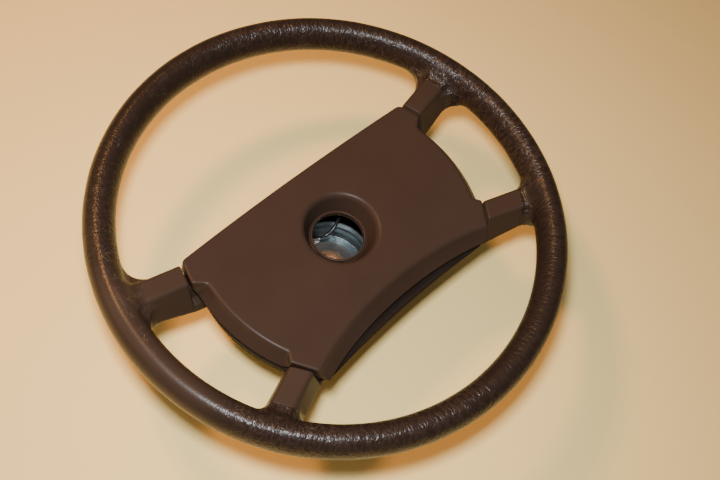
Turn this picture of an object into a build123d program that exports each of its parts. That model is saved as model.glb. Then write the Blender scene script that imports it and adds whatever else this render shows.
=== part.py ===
"""Four-spoke safety steering wheel with a padded centre plate that is pressed to sound the horn.

Frame: the origin lies on the hub axis at the hub's back face, +Z points to the driver, +Y to the top
of the wheel at straight ahead. All sizes are in millimetres.
"""
import os
from dataclasses import dataclass
from math import atan2, cos, hypot, radians, sin, sqrt

from build123d import *

# Rim: an oval section turned about an axis that runs a little above the hub's
RIM_OUTER_D = 400.0
RIM_RADIAL = 25.0
RIM_AXIAL = 34.0
RIM_RISE = 9.0
RIM_Z = 128.0
CORE_D = 10.0

# Dish: the face of the pad is hollow from side to side, and the spokes run on along its tangent
FACE_Z = 113.0
DISH_RADIUS = 680.0
DISH_HALF = 122.0

# Pad: plan of its upper edge on the right half, read at the height of the dish's ends
PAD_TOP_Y = 60.0
PAD_CORNER = (121.0, 55.0)
WING_UPPER_TOP = (123.8, 52.5)
WING_UPPER_LOW = (128.8, 34.5)
SIDE_R = 120.5
SIDE_FROM = 13.0
SIDE_TO = -26.6
SIDE_PULL = 3.0
WING_LOWER_TOP = (112.1, -61.2)
WING_LOWER_LOW = (100.9, -77.3)
PAD_ARCH_Y = -50.4
PAD_SKIRT = 13.0
PAD_WALL = 3.0

# Pad: how far each side leans out for one millimetre of drop
LEAN_TOP = 0.15
LEAN_WING = 0.03
LEAN_SIDE = 0.70
LEAN_ARCH = 1.0
LEAN_ARCH_END = (-0.325, -0.73)

# Hole in the pad, with the dished recess and the lip that a cap would clip on
HOLE_R = 22.4
LIP_WALL = 1.9
LIP_HEIGHT = 2.7
RECESS_R = 33.5
RECESS_FLOOR_R = 26.5
RECESS_DEPTH = 17.5
CUP_WALL = 3.0
CUP_TAIL = 3.0

# Clearances
PAD_GAP = 2.4
HORN_TRAVEL = 2.5
PAD_SPARE = 0.5
BUTTON_SPARE = 0.3
MOULD_GAP = 0.2
SEAT_GAP = 0.2
SLIDE_GAP = 0.25

# Spokes: height of the underside along the run from the gap, and how far each side leans out to it
SPOKE_DEPTHS = ((-30.0, 82.0), (0.0, 86.0), (18.0, 97.0), (34.0, 106.0))
SPOKE_RIM_RISE = 2.0
SPOKE_SPREAD_TOP = 3.5
SPOKE_SPREAD_LOW = 11.0
SPOKE_EDGE_R = 3.0
FLARE_RUN = 10.0
FLARE_AT_TOP = 0.4

# Tray under the pad
TRAY_SIDE_R = 132.0
TRAY_FROM = 22.0
TRAY_TO = -33.0
TRAY_CORNER = (118.0, 60.0)
TRAY_TOP_Y = 66.0
TRAY_FOOT = (97.0, -91.5)
TRAY_ARCH_Y = -86.0
TRAY_TOP_Z = 112.0
TRAY_BOTTOM_Z = 80.0
TRAY_TAPER = 4.0
TRAY_WALL = 8.0
TRAY_FLOOR = 10.0

# Spider: stamped centre plate with four arms
SHEET = 2.5
SPIDER_Z = 84.0
PLATE_X = 164.0
PLATE_Y = 109.0
PLATE_R = 18.0
PLATE_GRIP = 3.0
ARM_WIDTH = 13.0
ARM_REACH = 66.0
ARM_FLAT = 14.0
ARM_KNEE = 4.0
ARM_COVER = 3.0
ARM_RISE_END = 35.0
ARM_CLIMB = 34.75

# Impact pot
POT_MOUTH_R = 40.5
POT_FLANGE_W = 10.5
POT_WALL = 2.0
POT_STEPS = ((0.055, 20.0), (0.24, 23.0), (0.27, 44.0), (0.42, 47.0), (0.53, 53.0))
POT_DEPTH = 57.0
RIVET_EDGE = 3.0
RIVET_COUNT = 4
RIVET_R = 1.8
RIVET_HEAD_R = 2.8
RIVET_HEAD = 2.0

# Hub and the pieces on it
BORE_R = 8.5
HUB_R = 17.0
HUB_FLANGE_R = 28.0
HUB_FLANGE = 4.8
BOSS_R = 18.0
BOSS_PROUD = 4.0
SEAT_R = 13.5
SEAT_DEPTH = 4.0
HUB_CHAMFER = 1.0
CLAMP_R = 27.0
CLAMP_THICK = 2.1

# Slip ring and its carrier
CARRIER_SKIRT = 3.0
CARRIER_DISC_Z = 8.0
CARRIER_DISC = 6.0
CARRIER_NECK_R = 24.0
LUG_X = 4.0
LUG_Y = 10.0
LUG_Z = 8.0
SLIP_INWARD = 4.5
SLIP_OUTWARD = 2.5
SLIP_EDGE = 3.0
SLIP_THICK = 1.3

# Horn lead and its terminal on the pot's floor
TERMINAL_ANGLE = 68.0
TERMINAL_GAP = 0.9
TERMINAL_EDGE = 1.3
TERMINAL_R = 1.6
TERMINAL_HEAD_R = 3.2
TERMINAL_HEAD = 2.6
LEAD_D = 2.4
LEAD_ROUTE = (
    (2.0, 31.5, 41.0),
    (0.5, 24.5, 55.0),
    (6.0, 16.8, 61.0),
    (17.0, 16.8, 63.0),
    (25.0, 20.5, 70.0),
)
LEAD_MOUTH = ((4.4, 30.8, 81.0), (3.5, 28.9, 92.5))
LEAD_END = 18.0
LEAD_BEND = 0.45

# Horn mechanism
POST_X = 68.0
POST_Y = 34.0
POST_R = 3.0
POST_BASE_R = 6.0
POST_BASE = 1.5
POST_HEAD_R = 5.0
POST_HEAD = 2.2
PAD_PLATE_Z = 101.0
PAD_PLATE = 1.5
PAD_PLATE_X = 172.0
PAD_PLATE_Y = 90.0
PAD_PLATE_R = 14.0
PAD_PLATE_HOLE_R = 36.0
BUSH_R = 4.6
BUSH_FLANGE_R = 6.5
BUSH_FLANGE = 1.5
BUSH_PROUD = 0.5
SPRING_R = 4.8
SPRING_WIRE = 1.1
SPRING_TURNS = 4
SPRING_STEPS = 12
WIRE_SIDES = 6
CONTACT_EDGE = 2.5
CONTACT_COUNT = 4
CONTACT_RING_W = 3.4
INSULATOR_W = 4.2
INSULATOR = 3.0
CONTACT_RING = 0.8
BUTTON_R = 1.6
PAD_CONTACT_R = 2.2
PAD_CONTACT = 3.0

# Sizes that follow from the ones above
RIM_R = (RIM_OUTER_D - RIM_RADIAL) / 2
PAD_DROP_GAP = HORN_TRAVEL + PAD_SPARE
BUTTON_GAP = HORN_TRAVEL + BUTTON_SPARE
PLATE_TOP_Z = SPIDER_Z + SHEET
POT_FLOOR_Z = SPIDER_Z - POT_DEPTH
TERMINAL_RING_R = HUB_FLANGE_R + TERMINAL_GAP + TERMINAL_R
TERMINAL_PLACE = (
    TERMINAL_RING_R * cos(radians(TERMINAL_ANGLE)),
    TERMINAL_RING_R * sin(radians(TERMINAL_ANGLE)),
)
SLIP_INNER_R = TERMINAL_RING_R - SLIP_INWARD
SLIP_OUTER_R = TERMINAL_RING_R + SLIP_OUTWARD
CARRIER_R = SLIP_OUTER_R + SLIP_EDGE + CARRIER_SKIRT
POT_FLOOR_R = TERMINAL_RING_R + TERMINAL_HEAD_R + TERMINAL_EDGE
POT_TAPER = POT_MOUTH_R - POT_FLOOR_R
POT_FLANGE_R = POT_MOUTH_R + POT_FLANGE_W
RIVET_RING_R = POT_FLANGE_R - RIVET_EDGE
CONTACT_R = POT_MOUTH_R + CONTACT_EDGE
HUB_FLANGE_TOP = POT_FLOOR_Z - POT_WALL - SEAT_GAP
BOSS_TOP = POT_FLOOR_Z + BOSS_PROUD
TRAY_FLOOR_Z = TRAY_BOTTOM_Z + TRAY_FLOOR
BUSH_LOW_Z = PAD_PLATE_Z - BUSH_FLANGE
BUSH_TOP_Z = PAD_PLATE_Z + PAD_PLATE + BUSH_PROUD
POST_BASE_TOP = PLATE_TOP_Z + POST_BASE
INSULATOR_TOP = PLATE_TOP_Z + SEAT_GAP + INSULATOR
CONTACT_TOP = INSULATOR_TOP + CONTACT_RING
PAD_CONTACT_Z = PAD_PLATE_Z - PAD_CONTACT
RECESS_FLOOR_Z = FACE_Z - RECESS_DEPTH


def dish_z(x: float) -> float:
    """Height of the pad's face at a distance from the middle: an arc, then its tangent."""
    reach = min(abs(x), DISH_HALF)
    side = sqrt(DISH_RADIUS**2 - reach**2)
    return FACE_Z + DISH_RADIUS - side + (abs(x) - reach) * reach / side


PAD_LEVEL = dish_z(WING_UPPER_LOW[0])


@dataclass(frozen=True)
class Spoke:
    """One spoke of the right half: its root, direction and width, and how much each side flares out.

    The flares are read before the rim, at its inner edge and at its middle.
    """

    root: tuple
    angle: float
    width: float
    flare_left: tuple
    flare_right: tuple

    def point(self, run: float) -> tuple:
        """Plan position at a distance along the axis from the root."""
        turn = radians(self.angle)
        return self.root[0] + run * cos(turn), self.root[1] + run * sin(turn)

    def run_to(self, radius: float) -> float:
        """Distance along the axis from the root to a circle about the rim's centre."""
        turn = radians(self.angle)
        x, y = self.root[0], self.root[1] - RIM_RISE
        along = x * cos(turn) + y * sin(turn)
        return -along + sqrt(along**2 - x**2 - y**2 + radius**2)

    def plane(self, run: float) -> Plane:
        """Upright plane across the spoke, with its x axis to the spoke's left and y along +Z."""
        turn = radians(self.angle)
        x, y = self.point(run)
        return Plane((x, y, 0), x_dir=(-sin(turn), cos(turn), 0), z_dir=(cos(turn), sin(turn), 0))


UPPER_SPOKE = Spoke((128.0, 44.0), 9.75, 18.4, (2.0, 9.0, 20.0), (1.0, 6.0, 14.0))
LOWER_SPOKE = Spoke((107.6, -70.0), -22.0, 18.2, (1.0, 5.0, 12.0), (1.5, 7.0, 16.0))


def both_sides(shape):
    """A shape of the right half together with its mirror image."""
    return shape + mirror(shape, about=Plane.YZ)


def turned(points) -> Part:
    """Solid of revolution about the hub axis from (radius, height) points."""
    profile = Plane.XZ * make_face(Polyline(*points, close=True))
    return revolve(profile, Axis.Z)


def tube(outer: float, inner: float, low: float, high: float) -> Part:
    """Upright ring about the hub axis."""
    return turned(((inner, low), (outer, low), (outer, high), (inner, high)))


def disc(radius: float, low: float, high: float) -> Part:
    """Upright cylinder between two heights."""
    return Pos(0, 0, low) * Cylinder(radius, high - low, align=(Align.CENTER, Align.CENTER, Align.MIN))


def plate(width: float, height: float, corner: float, low: float, high: float) -> Part:
    """Flat plate with rounded corners between two heights."""
    return Pos(0, 0, low) * extrude(RectangleRounded(width, height, corner), high - low)


def dish_slab(top: float, bottom: float) -> Part:
    """The space between two copies of the dish, shifted up or down from the face."""
    half = RIM_R
    rows = []
    for shift in (top, bottom):
        rows.append([(x, dish_z(x) + shift) for x in (-half, -DISH_HALF, 0, DISH_HALF, half)])
    upper, lower = rows
    outline = Polyline(upper[0], upper[1]) + ThreePointArc(*upper[1:4]) + Polyline(upper[3], upper[4])
    outline += Line(upper[4], lower[4]) + Line(lower[0], upper[0])
    outline += Polyline(lower[0], lower[1]) + ThreePointArc(*lower[1:4]) + Polyline(lower[3], lower[4])
    return extrude(Plane.XZ * make_face(outline), RIM_R, both=True)


def closed_plan(right, top_mid, foot_mid, side_index) -> Sketch:
    """Closed plan from the right half's points, with arcs over the top, along the side and below.

    The side arc starts at the point with the given index and bulges round the hub axis.
    """
    first, last = right[side_index], right[side_index + 1]
    radius = (hypot(*first) + hypot(*last)) / 2
    middle = (atan2(first[1], first[0]) + atan2(last[1], last[0])) / 2
    bulge = (radius * cos(middle), radius * sin(middle))
    edges = []
    for sign in (1, -1):
        points = [(sign * x, y) for x, y in right]
        for index in range(len(points) - 1):
            if index == side_index:
                edges.append(ThreePointArc(points[index], (sign * bulge[0], bulge[1]), points[index + 1]))
            else:
                edges.append(Line(points[index], points[index + 1]))
    edges.append(ThreePointArc((-right[0][0], right[0][1]), top_mid, right[0]))
    edges.append(ThreePointArc((-right[-1][0], right[-1][1]), foot_mid, right[-1]))
    return make_face(edges)


def on_circle(radius: float, angle: float) -> tuple:
    """Point on a circle about the hub axis."""
    return radius * cos(radians(angle)), radius * sin(radians(angle))


def pad_plan(level: float, grow: float) -> Sketch:
    """Plan of the pad at a height, moved outwards by grow: the sides lean out as the level drops."""
    drop = PAD_LEVEL - level
    side_r = SIDE_R + LEAN_SIDE * drop + grow
    run = hypot(WING_LOWER_TOP[0] - WING_LOWER_LOW[0], WING_LOWER_TOP[1] - WING_LOWER_LOW[1])
    out_x = (WING_LOWER_TOP[1] - WING_LOWER_LOW[1]) / run
    out_y = -(WING_LOWER_TOP[0] - WING_LOWER_LOW[0]) / run
    wing = LEAN_WING * drop + grow
    right = [
        (PAD_CORNER[0] + grow / 2, PAD_CORNER[1] + LEAN_TOP * drop + grow),
        (WING_UPPER_TOP[0] + wing, WING_UPPER_TOP[1] + LEAN_TOP * drop + grow / 2),
        (WING_UPPER_LOW[0] + wing, WING_UPPER_LOW[1] - grow / 2),
        on_circle(side_r, SIDE_FROM),
        on_circle(side_r - SIDE_PULL, SIDE_TO),
        (WING_LOWER_TOP[0] + out_x * wing, WING_LOWER_TOP[1] + out_y * wing + grow / 2),
        (
            WING_LOWER_LOW[0] + LEAN_ARCH_END[0] * drop + out_x * grow,
            WING_LOWER_LOW[1] + LEAN_ARCH_END[1] * drop + out_y * grow - grow / 2,
        ),
    ]
    top_mid = (0, PAD_TOP_Y + LEAN_TOP * drop + grow)
    foot_mid = (0, PAD_ARCH_Y - LEAN_ARCH * drop - grow)
    return Pos(0, 0, level) * closed_plan(right, top_mid, foot_mid, 3)


def pad_body(grow: float, top: float, bottom: float) -> Part:
    """The pad's outer form, grown or shrunk sideways, between two shifts of the dish."""
    low = FACE_Z + bottom - PAD_DROP_GAP
    body = loft([pad_plan(low, grow), pad_plan(PAD_LEVEL, grow)], ruled=True)
    if top > 0:
        body += extrude(pad_plan(PAD_LEVEL, grow), top)
    return body & dish_slab(top, bottom)


def tray_plan(level: float, inset: float) -> Sketch:
    """Plan of the tray at a height, drawn in by the inset."""
    right = [
        (TRAY_CORNER[0] - inset, TRAY_CORNER[1] - inset),
        on_circle(TRAY_SIDE_R - inset, TRAY_FROM),
        on_circle(TRAY_SIDE_R - inset, TRAY_TO),
        (TRAY_FOOT[0] - inset, TRAY_FOOT[1] + inset),
    ]
    return Pos(0, 0, level) * closed_plan(right, (0, TRAY_TOP_Y - inset), (0, TRAY_ARCH_Y + inset), 1)


def spoke_body(spoke: Spoke) -> Part:
    """Foam spoke: rounded sections that deepen towards the tray and flare out into the rim."""
    inner = spoke.run_to(RIM_R - RIM_RADIAL / 2)
    centre = spoke.run_to(RIM_R)
    rim_low = RIM_Z - RIM_AXIAL / 2 + SPOKE_RIM_RISE
    stations = [(run, low, 0.0, 0.0) for run, low in SPOKE_DEPTHS if run < inner - FLARE_RUN]
    for run, left, right in zip((inner - FLARE_RUN, inner, centre), spoke.flare_left, spoke.flare_right):
        stations.append((run, rim_low, left, right))
    sections = []
    for run, low, left, right in stations:
        high = dish_z(spoke.point(run)[0])
        half = spoke.width / 2
        corners = (
            (half + FLARE_AT_TOP * left, high),
            (-half - FLARE_AT_TOP * right, high),
            (-half - SPOKE_SPREAD_LOW - right, low),
            (half + SPOKE_SPREAD_TOP + left, low),
        )
        outline = make_face(Polyline(*corners, close=True))
        sections.append(spoke.plane(run) * fillet(outline.vertices(), SPOKE_EDGE_R))
    return loft(sections, ruled=True)


def arm_body(spoke: Spoke, grow: float) -> Part:
    """One bent arm of the spider from the centre plate to the underside of the core ring."""
    mid = SPIDER_Z + SHEET / 2
    weld = RIM_Z - CORE_D / 2 - SEAT_GAP - SHEET / 2
    end = spoke.run_to(RIM_R) + CORE_D / 2
    knee = dish_z(spoke.root[0]) - PAD_SKIRT - PAD_DROP_GAP - ARM_COVER - SHEET / 2
    path = (
        (-ARM_REACH - grow, mid),
        (-ARM_REACH + ARM_FLAT, mid),
        (ARM_KNEE, knee),
        (ARM_RISE_END, mid + ARM_CLIMB),
        (spoke.run_to(RIM_R) - CORE_D, weld),
        (end + grow, weld),
    )
    half = SHEET / 2 + grow
    upper = [(run, z + half) for run, z in path]
    lower = [(run, z - half) for run, z in reversed(path)]
    turn = radians(spoke.angle)
    side_on = Plane((*spoke.root, 0), x_dir=(cos(turn), sin(turn), 0), z_dir=(sin(turn), -cos(turn), 0))
    profile = side_on * make_face(Polyline(*upper, *lower, close=True))
    return extrude(profile, ARM_WIDTH / 2 + grow, both=True)


def post_places():
    """The four corners where the pad is guided."""
    return GridLocations(2 * POST_X, 2 * POST_Y, 2, 2)


def spider_body(grow: float) -> Part:
    """Centre plate and arms; grown by the mould gap it is the space that the foam leaves."""
    body = plate(PLATE_X + 2 * grow, PLATE_Y + 2 * grow, PLATE_R, SPIDER_Z - grow, PLATE_TOP_Z + grow)
    for spoke in (UPPER_SPOKE, LOWER_SPOKE):
        body += both_sides(arm_body(spoke, grow))
    return body


def rim_ring(radial: float, axial: float) -> Part:
    """Ring of oval section about the rim's centre, drawn as two arcs so that the spokes join it cleanly."""
    centre, halves = (RIM_R, RIM_Z), (radial / 2, axial / 2)
    arcs = [EllipticalCenterArc(centre, *halves, start, arc_size=180) for start in (0, 180)]
    return Pos(0, RIM_RISE, 0) * revolve(Plane.XZ * make_face(arcs), Axis.Z)


def make_foam() -> Part:
    """Rim, spokes and tray as one moulding round the core ring and the spider."""
    lip = -PAD_SKIRT - PAD_DROP_GAP
    tray = loft([tray_plan(TRAY_BOTTOM_Z, TRAY_TAPER), tray_plan(TRAY_TOP_Z, 0)], ruled=True)
    tray &= dish_slab(lip, TRAY_BOTTOM_Z - TRAY_TOP_Z + lip)
    foam = rim_ring(RIM_RADIAL, RIM_AXIAL) + tray
    for spoke in (UPPER_SPOKE, LOWER_SPOKE):
        foam += both_sides(spoke_body(spoke))
    foam -= pad_body(PAD_GAP, RIM_AXIAL, lip)
    pocket = tray_plan(TRAY_FLOOR_Z, TRAY_TAPER + TRAY_WALL)
    foam -= extrude(pocket, RIM_AXIAL)
    foam -= plate(PLATE_X - 2 * PLATE_GRIP, PLATE_Y - 2 * PLATE_GRIP, PLATE_R, 0, RIM_Z)
    foam -= rim_ring(CORE_D + 2 * MOULD_GAP, CORE_D + 2 * MOULD_GAP)
    return foam - spider_body(MOULD_GAP)


def make_spider() -> Part:
    """Stamped spider with the pot's mouth and the holes for rivets and posts."""
    body = spider_body(0)
    body -= disc(POT_MOUTH_R, 0, RIM_Z)
    for place in PolarLocations(RIVET_RING_R, RIVET_COUNT, 180 / RIVET_COUNT):
        body -= place * disc(RIVET_R + SLIDE_GAP, 0, RIM_Z)
    return body


def make_pot() -> Part:
    """Deep-drawn stepped pot with its flange under the spider and the hub through its floor."""
    top = SPIDER_Z - SEAT_GAP
    steps = [(POT_MOUTH_R - share * POT_TAPER, top - depth) for share, depth in POT_STEPS]
    inside = [(POT_MOUTH_R, top), *steps]
    inside += [(POT_FLOOR_R, POT_FLOOR_Z), (BOSS_R + SEAT_GAP, POT_FLOOR_Z)]
    under = POT_FLOOR_Z - POT_WALL
    outside = [(BOSS_R + SEAT_GAP, under), (POT_FLOOR_R + POT_WALL / 2, under)]
    outside += [(r + POT_WALL, z) for r, z in reversed(steps)]
    outside += [(POT_MOUTH_R + POT_WALL, top - POT_WALL), (POT_FLANGE_R, top - POT_WALL), (POT_FLANGE_R, top)]
    body = turned(inside + outside)
    for place in PolarLocations(RIVET_RING_R, RIVET_COUNT, 180 / RIVET_COUNT):
        body -= place * disc(RIVET_R + SLIDE_GAP, 0, RIM_Z)
    return body - Pos(*TERMINAL_PLACE) * disc(TERMINAL_R + SEAT_GAP, 0, SPIDER_Z)


def make_rivets() -> Part:
    """Rivets through the spider and the pot's flange."""
    low = SPIDER_Z - SEAT_GAP - POT_WALL
    rivet = disc(RIVET_R, low - RIVET_HEAD, PLATE_TOP_Z + RIVET_HEAD)
    rivet += disc(RIVET_HEAD_R, low - RIVET_HEAD - SEAT_GAP, low - SEAT_GAP)
    rivet += disc(RIVET_HEAD_R, PLATE_TOP_Z + SEAT_GAP, PLATE_TOP_Z + SEAT_GAP + RIVET_HEAD)
    return [place * rivet for place in PolarLocations(RIVET_RING_R, RIVET_COUNT, 180 / RIVET_COUNT)]


def make_hub() -> Part:
    """Turned hub: barrel, flange under the pot, boss through its floor and the bolt's seat."""
    return turned(
        (
            (BORE_R, 0),
            (HUB_R - HUB_CHAMFER, 0),
            (HUB_R, HUB_CHAMFER),
            (HUB_R, HUB_FLANGE_TOP - HUB_FLANGE),
            (HUB_FLANGE_R, HUB_FLANGE_TOP - HUB_FLANGE),
            (HUB_FLANGE_R, HUB_FLANGE_TOP),
            (BOSS_R, HUB_FLANGE_TOP),
            (BOSS_R, BOSS_TOP - HUB_CHAMFER),
            (BOSS_R - HUB_CHAMFER, BOSS_TOP),
            (SEAT_R, BOSS_TOP),
            (SEAT_R, BOSS_TOP - SEAT_DEPTH),
            (BORE_R, BOSS_TOP - SEAT_DEPTH),
        )
    )


def make_carrier() -> Part:
    """Insulating carrier: a neck under the hub's flange, a disc and a skirt with two cancelling lugs."""
    neck_top = HUB_FLANGE_TOP - HUB_FLANGE - SEAT_GAP
    disc_top = CARRIER_DISC_Z + CARRIER_DISC
    body = turned(
        (
            (HUB_R + SEAT_GAP, CARRIER_DISC_Z),
            (CARRIER_R - CARRIER_SKIRT, CARRIER_DISC_Z),
            (CARRIER_R - CARRIER_SKIRT, 0),
            (CARRIER_R, 0),
            (CARRIER_R, disc_top),
            (CARRIER_NECK_R, disc_top),
            (CARRIER_NECK_R, neck_top),
            (HUB_R + SEAT_GAP, neck_top),
        )
    )
    lug = Pos(CARRIER_R - CARRIER_SKIRT, 0, 0) * Box(
        LUG_X + CARRIER_SKIRT, LUG_Y, LUG_Z, align=(Align.MIN, Align.CENTER, Align.MIN)
    )
    body += both_sides(lug)
    return body - Pos(*TERMINAL_PLACE) * disc(TERMINAL_R + SEAT_GAP, 0, SPIDER_Z)


def make_terminal() -> Part:
    """Rivet that carries the horn current from the slip ring up through the pot's floor."""
    low = POT_FLOOR_Z + SEAT_GAP
    body = disc(TERMINAL_R, CARRIER_DISC_Z, low) + disc(TERMINAL_HEAD_R, low, low + TERMINAL_HEAD)
    return Pos(*TERMINAL_PLACE) * body


def make_lead() -> Part:
    """Horn lead from the terminal up a loop in the pot to the contact ring, in runs and tangent arcs."""
    start = (*TERMINAL_PLACE, POT_FLOOR_Z + TERMINAL_HEAD + 2 * SEAT_GAP + LEAD_D / 2)
    end = (*on_circle(CONTACT_R, LEAD_END), CONTACT_TOP + SEAT_GAP + LEAD_D / 2)
    mouth = [(*on_circle(POT_MOUTH_R - gap, angle), z) for gap, angle, z in LEAD_MOUTH]
    points = [Vector(*point) for point in (start, *LEAD_ROUTE, *mouth, end)]
    radii = []
    for before, here, after in zip(points, points[1:], points[2:]):
        shorter = min((here - before).length, (after - here).length)
        half_turn = radians((here - before).get_angle(after - here)) / 2
        radii.append(LEAD_BEND * shorter * cos(half_turn) / sin(half_turn))
    path = FilletPolyline(*points, radius=radii)
    return sweep(Plane(path @ 0, z_dir=path % 0) * Circle(LEAD_D / 2), path)


def make_post() -> Part:
    """Shouldered guide post with the head that stops the pad at the top of its travel."""
    head = BUSH_TOP_Z + SEAT_GAP
    body = disc(POST_BASE_R, PLATE_TOP_Z, POST_BASE_TOP) + disc(POST_R, PLATE_TOP_Z, head + POST_HEAD)
    return body + disc(POST_HEAD_R, head, head + POST_HEAD)


def make_spring() -> Part:
    """Coil spring between the post's base and the bush's flange, its wire drawn with few flats."""
    low = POST_BASE_TOP + SEAT_GAP + SPRING_WIRE / 2
    high = BUSH_LOW_Z - SEAT_GAP - SPRING_WIRE / 2
    path = Pos(0, 0, low) * Helix((high - low) / SPRING_TURNS, high - low, SPRING_R)
    count = SPRING_TURNS * SPRING_STEPS
    sections = []
    for step in range(count + 1):
        share = step / count
        across = Plane(path @ share, x_dir=(0, 0, 1), z_dir=path % share)
        sections.append(across * RegularPolygon(SPRING_WIRE / 2, WIRE_SIDES))
    return loft(sections, ruled=True)


def make_bush() -> Part:
    """Flanged bush in the pad's plate that slides on a post."""
    body = disc(BUSH_R, BUSH_LOW_Z, BUSH_TOP_Z)
    body += disc(BUSH_FLANGE_R, BUSH_LOW_Z, PAD_PLATE_Z - SEAT_GAP / 2)
    return body - disc(POST_R + SLIDE_GAP, 0, RIM_Z)


def contact_places():
    """Places of the horn contacts round the pot's mouth."""
    return PolarLocations(CONTACT_R, CONTACT_COUNT, 180 / CONTACT_COUNT)


def make_contact_ring() -> Part:
    """Contact ring with a button under each contact of the pad."""
    half = CONTACT_RING_W / 2
    body = tube(CONTACT_R + half, CONTACT_R - half, INSULATOR_TOP, CONTACT_TOP)
    for place in contact_places():
        body += place * disc(BUTTON_R, INSULATOR_TOP, PAD_CONTACT_Z - BUTTON_GAP)
    return body


def make_pad_cover() -> Part:
    """Padded plate: dished skin with leaning skirts, and the cup, lip and hole at its centre."""
    skin = pad_body(0, 0, -PAD_SKIRT)
    skin -= pad_body(-PAD_WALL, -PAD_WALL, -PAD_SKIRT - PAD_DROP_GAP)
    tail = RECESS_FLOOR_Z - CUP_TAIL
    slope = (RECESS_R - RECESS_FLOOR_R) / RECESS_DEPTH
    rise = dish_z(RECESS_R) - FACE_Z + PAD_WALL
    cup = turned(
        (
            (HOLE_R, tail),
            (RECESS_FLOOR_R + CUP_WALL, tail),
            (RECESS_R + CUP_WALL, FACE_Z - PAD_WALL / 2),
            (HOLE_R, FACE_Z - PAD_WALL / 2),
        )
    )
    hollow = turned(
        (
            (HOLE_R + LIP_WALL, RECESS_FLOOR_Z),
            (RECESS_FLOOR_R, RECESS_FLOOR_Z),
            (RECESS_R + slope * rise, FACE_Z + rise),
            (0, FACE_Z + rise),
            (0, RECESS_FLOOR_Z + LIP_HEIGHT),
            (HOLE_R + LIP_WALL, RECESS_FLOOR_Z + LIP_HEIGHT),
        )
    )
    return skin + cup - hollow - disc(HOLE_R, 0, RIM_Z)


def make_filler() -> Part:
    """Foam between the cover and the plate, with room for the cup and the heads of the posts."""
    inset = PAD_WALL + MOULD_GAP
    body = pad_body(-inset, -inset, -PAD_SKIRT)
    body -= disc(RIM_R, 0, PAD_PLATE_Z + PAD_PLATE)
    body -= disc(RECESS_R + CUP_WALL + 2 * MOULD_GAP, 0, RIM_Z)
    head_room = BUSH_TOP_Z + POST_HEAD + HORN_TRAVEL + PAD_WALL / 2
    for place in post_places():
        body -= place * disc(BUSH_FLANGE_R, 0, head_room)
    return body


def make_pad_plate() -> Part:
    """Steel plate of the pad, with holes for the cup, the bushes and the contacts."""
    body = plate(PAD_PLATE_X, PAD_PLATE_Y, PAD_PLATE_R, PAD_PLATE_Z, PAD_PLATE_Z + PAD_PLATE)
    body -= disc(PAD_PLATE_HOLE_R, 0, RIM_Z)
    for place in post_places():
        body -= place * disc(BUSH_R + SEAT_GAP, 0, RIM_Z)
    return body


def save(name: str, *solids) -> None:
    """Write one node as a STEP file."""
    shape = solids[0] if len(solids) == 1 else Compound(children=list(solids))
    export_step(shape, f"parts/{name}.step")


os.makedirs("parts", exist_ok=True)

# Wheel: everything that turns with the column
save("rim_foam", make_foam())
save("rim_core", rim_ring(CORE_D, CORE_D))
save("spider", make_spider())
save("impact_pot", make_pot())
save("pot_rivets", *make_rivets())
save("hub", make_hub())
save("hub_clamp_ring", tube(CLAMP_R, BOSS_R + SEAT_GAP, POT_FLOOR_Z + SEAT_GAP, POT_FLOOR_Z + CLAMP_THICK))
save("slip_carrier", make_carrier())
save("slip_ring", tube(SLIP_OUTER_R, SLIP_INNER_R, CARRIER_DISC_Z - SLIP_THICK, CARRIER_DISC_Z))
save("lead_terminal", make_terminal())
save("horn_lead", make_lead())
save("guide_posts", *[place * make_post() for place in post_places()])
save("horn_springs", *[place * make_spring() for place in post_places()])
save(
    "contact_insulator",
    tube(CONTACT_R + INSULATOR_W / 2, CONTACT_R - INSULATOR_W / 2, PLATE_TOP_Z + SEAT_GAP, INSULATOR_TOP),
)
save("contact_ring", make_contact_ring())

# Horn pad: what is pressed
save("pad_cover", make_pad_cover())
save("pad_filler", make_filler())
save("pad_plate", make_pad_plate())
save("guide_bushes", *[place * make_bush() for place in post_places()])
save("pad_contacts", *[place * disc(PAD_CONTACT_R, PAD_CONTACT_Z, PAD_PLATE_Z) for place in contact_places()])
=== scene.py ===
"""Four-spoke safety steering wheel: the looks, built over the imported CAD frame.

Lengths in the classes are millimetres in the part's frame: the origin lies on the hub axis at the hub's
back face, +Z points to the driver and +Y to the top of the wheel. Meshes are written in metres.
"""
import logging
from collections.abc import Callable
from dataclasses import dataclass
from enum import Enum

import bpy
import numpy as np
from bpy.types import ID, Material, Node, NodeSocket, NodeTree, Object
from mathutils import Matrix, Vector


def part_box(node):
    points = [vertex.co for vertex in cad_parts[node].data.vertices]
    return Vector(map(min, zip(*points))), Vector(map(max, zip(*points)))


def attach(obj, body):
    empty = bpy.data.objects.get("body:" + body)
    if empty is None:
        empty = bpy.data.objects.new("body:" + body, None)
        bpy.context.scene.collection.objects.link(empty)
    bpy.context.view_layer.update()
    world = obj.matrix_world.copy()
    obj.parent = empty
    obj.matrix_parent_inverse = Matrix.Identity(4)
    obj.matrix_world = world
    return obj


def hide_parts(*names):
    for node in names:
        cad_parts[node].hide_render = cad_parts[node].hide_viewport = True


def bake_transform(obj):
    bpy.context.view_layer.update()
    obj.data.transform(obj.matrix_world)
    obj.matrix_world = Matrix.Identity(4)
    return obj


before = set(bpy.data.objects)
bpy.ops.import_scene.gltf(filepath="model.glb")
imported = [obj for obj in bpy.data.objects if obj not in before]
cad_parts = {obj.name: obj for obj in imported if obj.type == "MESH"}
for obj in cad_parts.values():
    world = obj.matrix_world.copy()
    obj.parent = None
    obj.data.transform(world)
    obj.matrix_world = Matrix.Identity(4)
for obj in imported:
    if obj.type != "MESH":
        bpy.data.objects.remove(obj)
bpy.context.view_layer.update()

LOG = logging.getLogger("steering_wheel")
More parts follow.
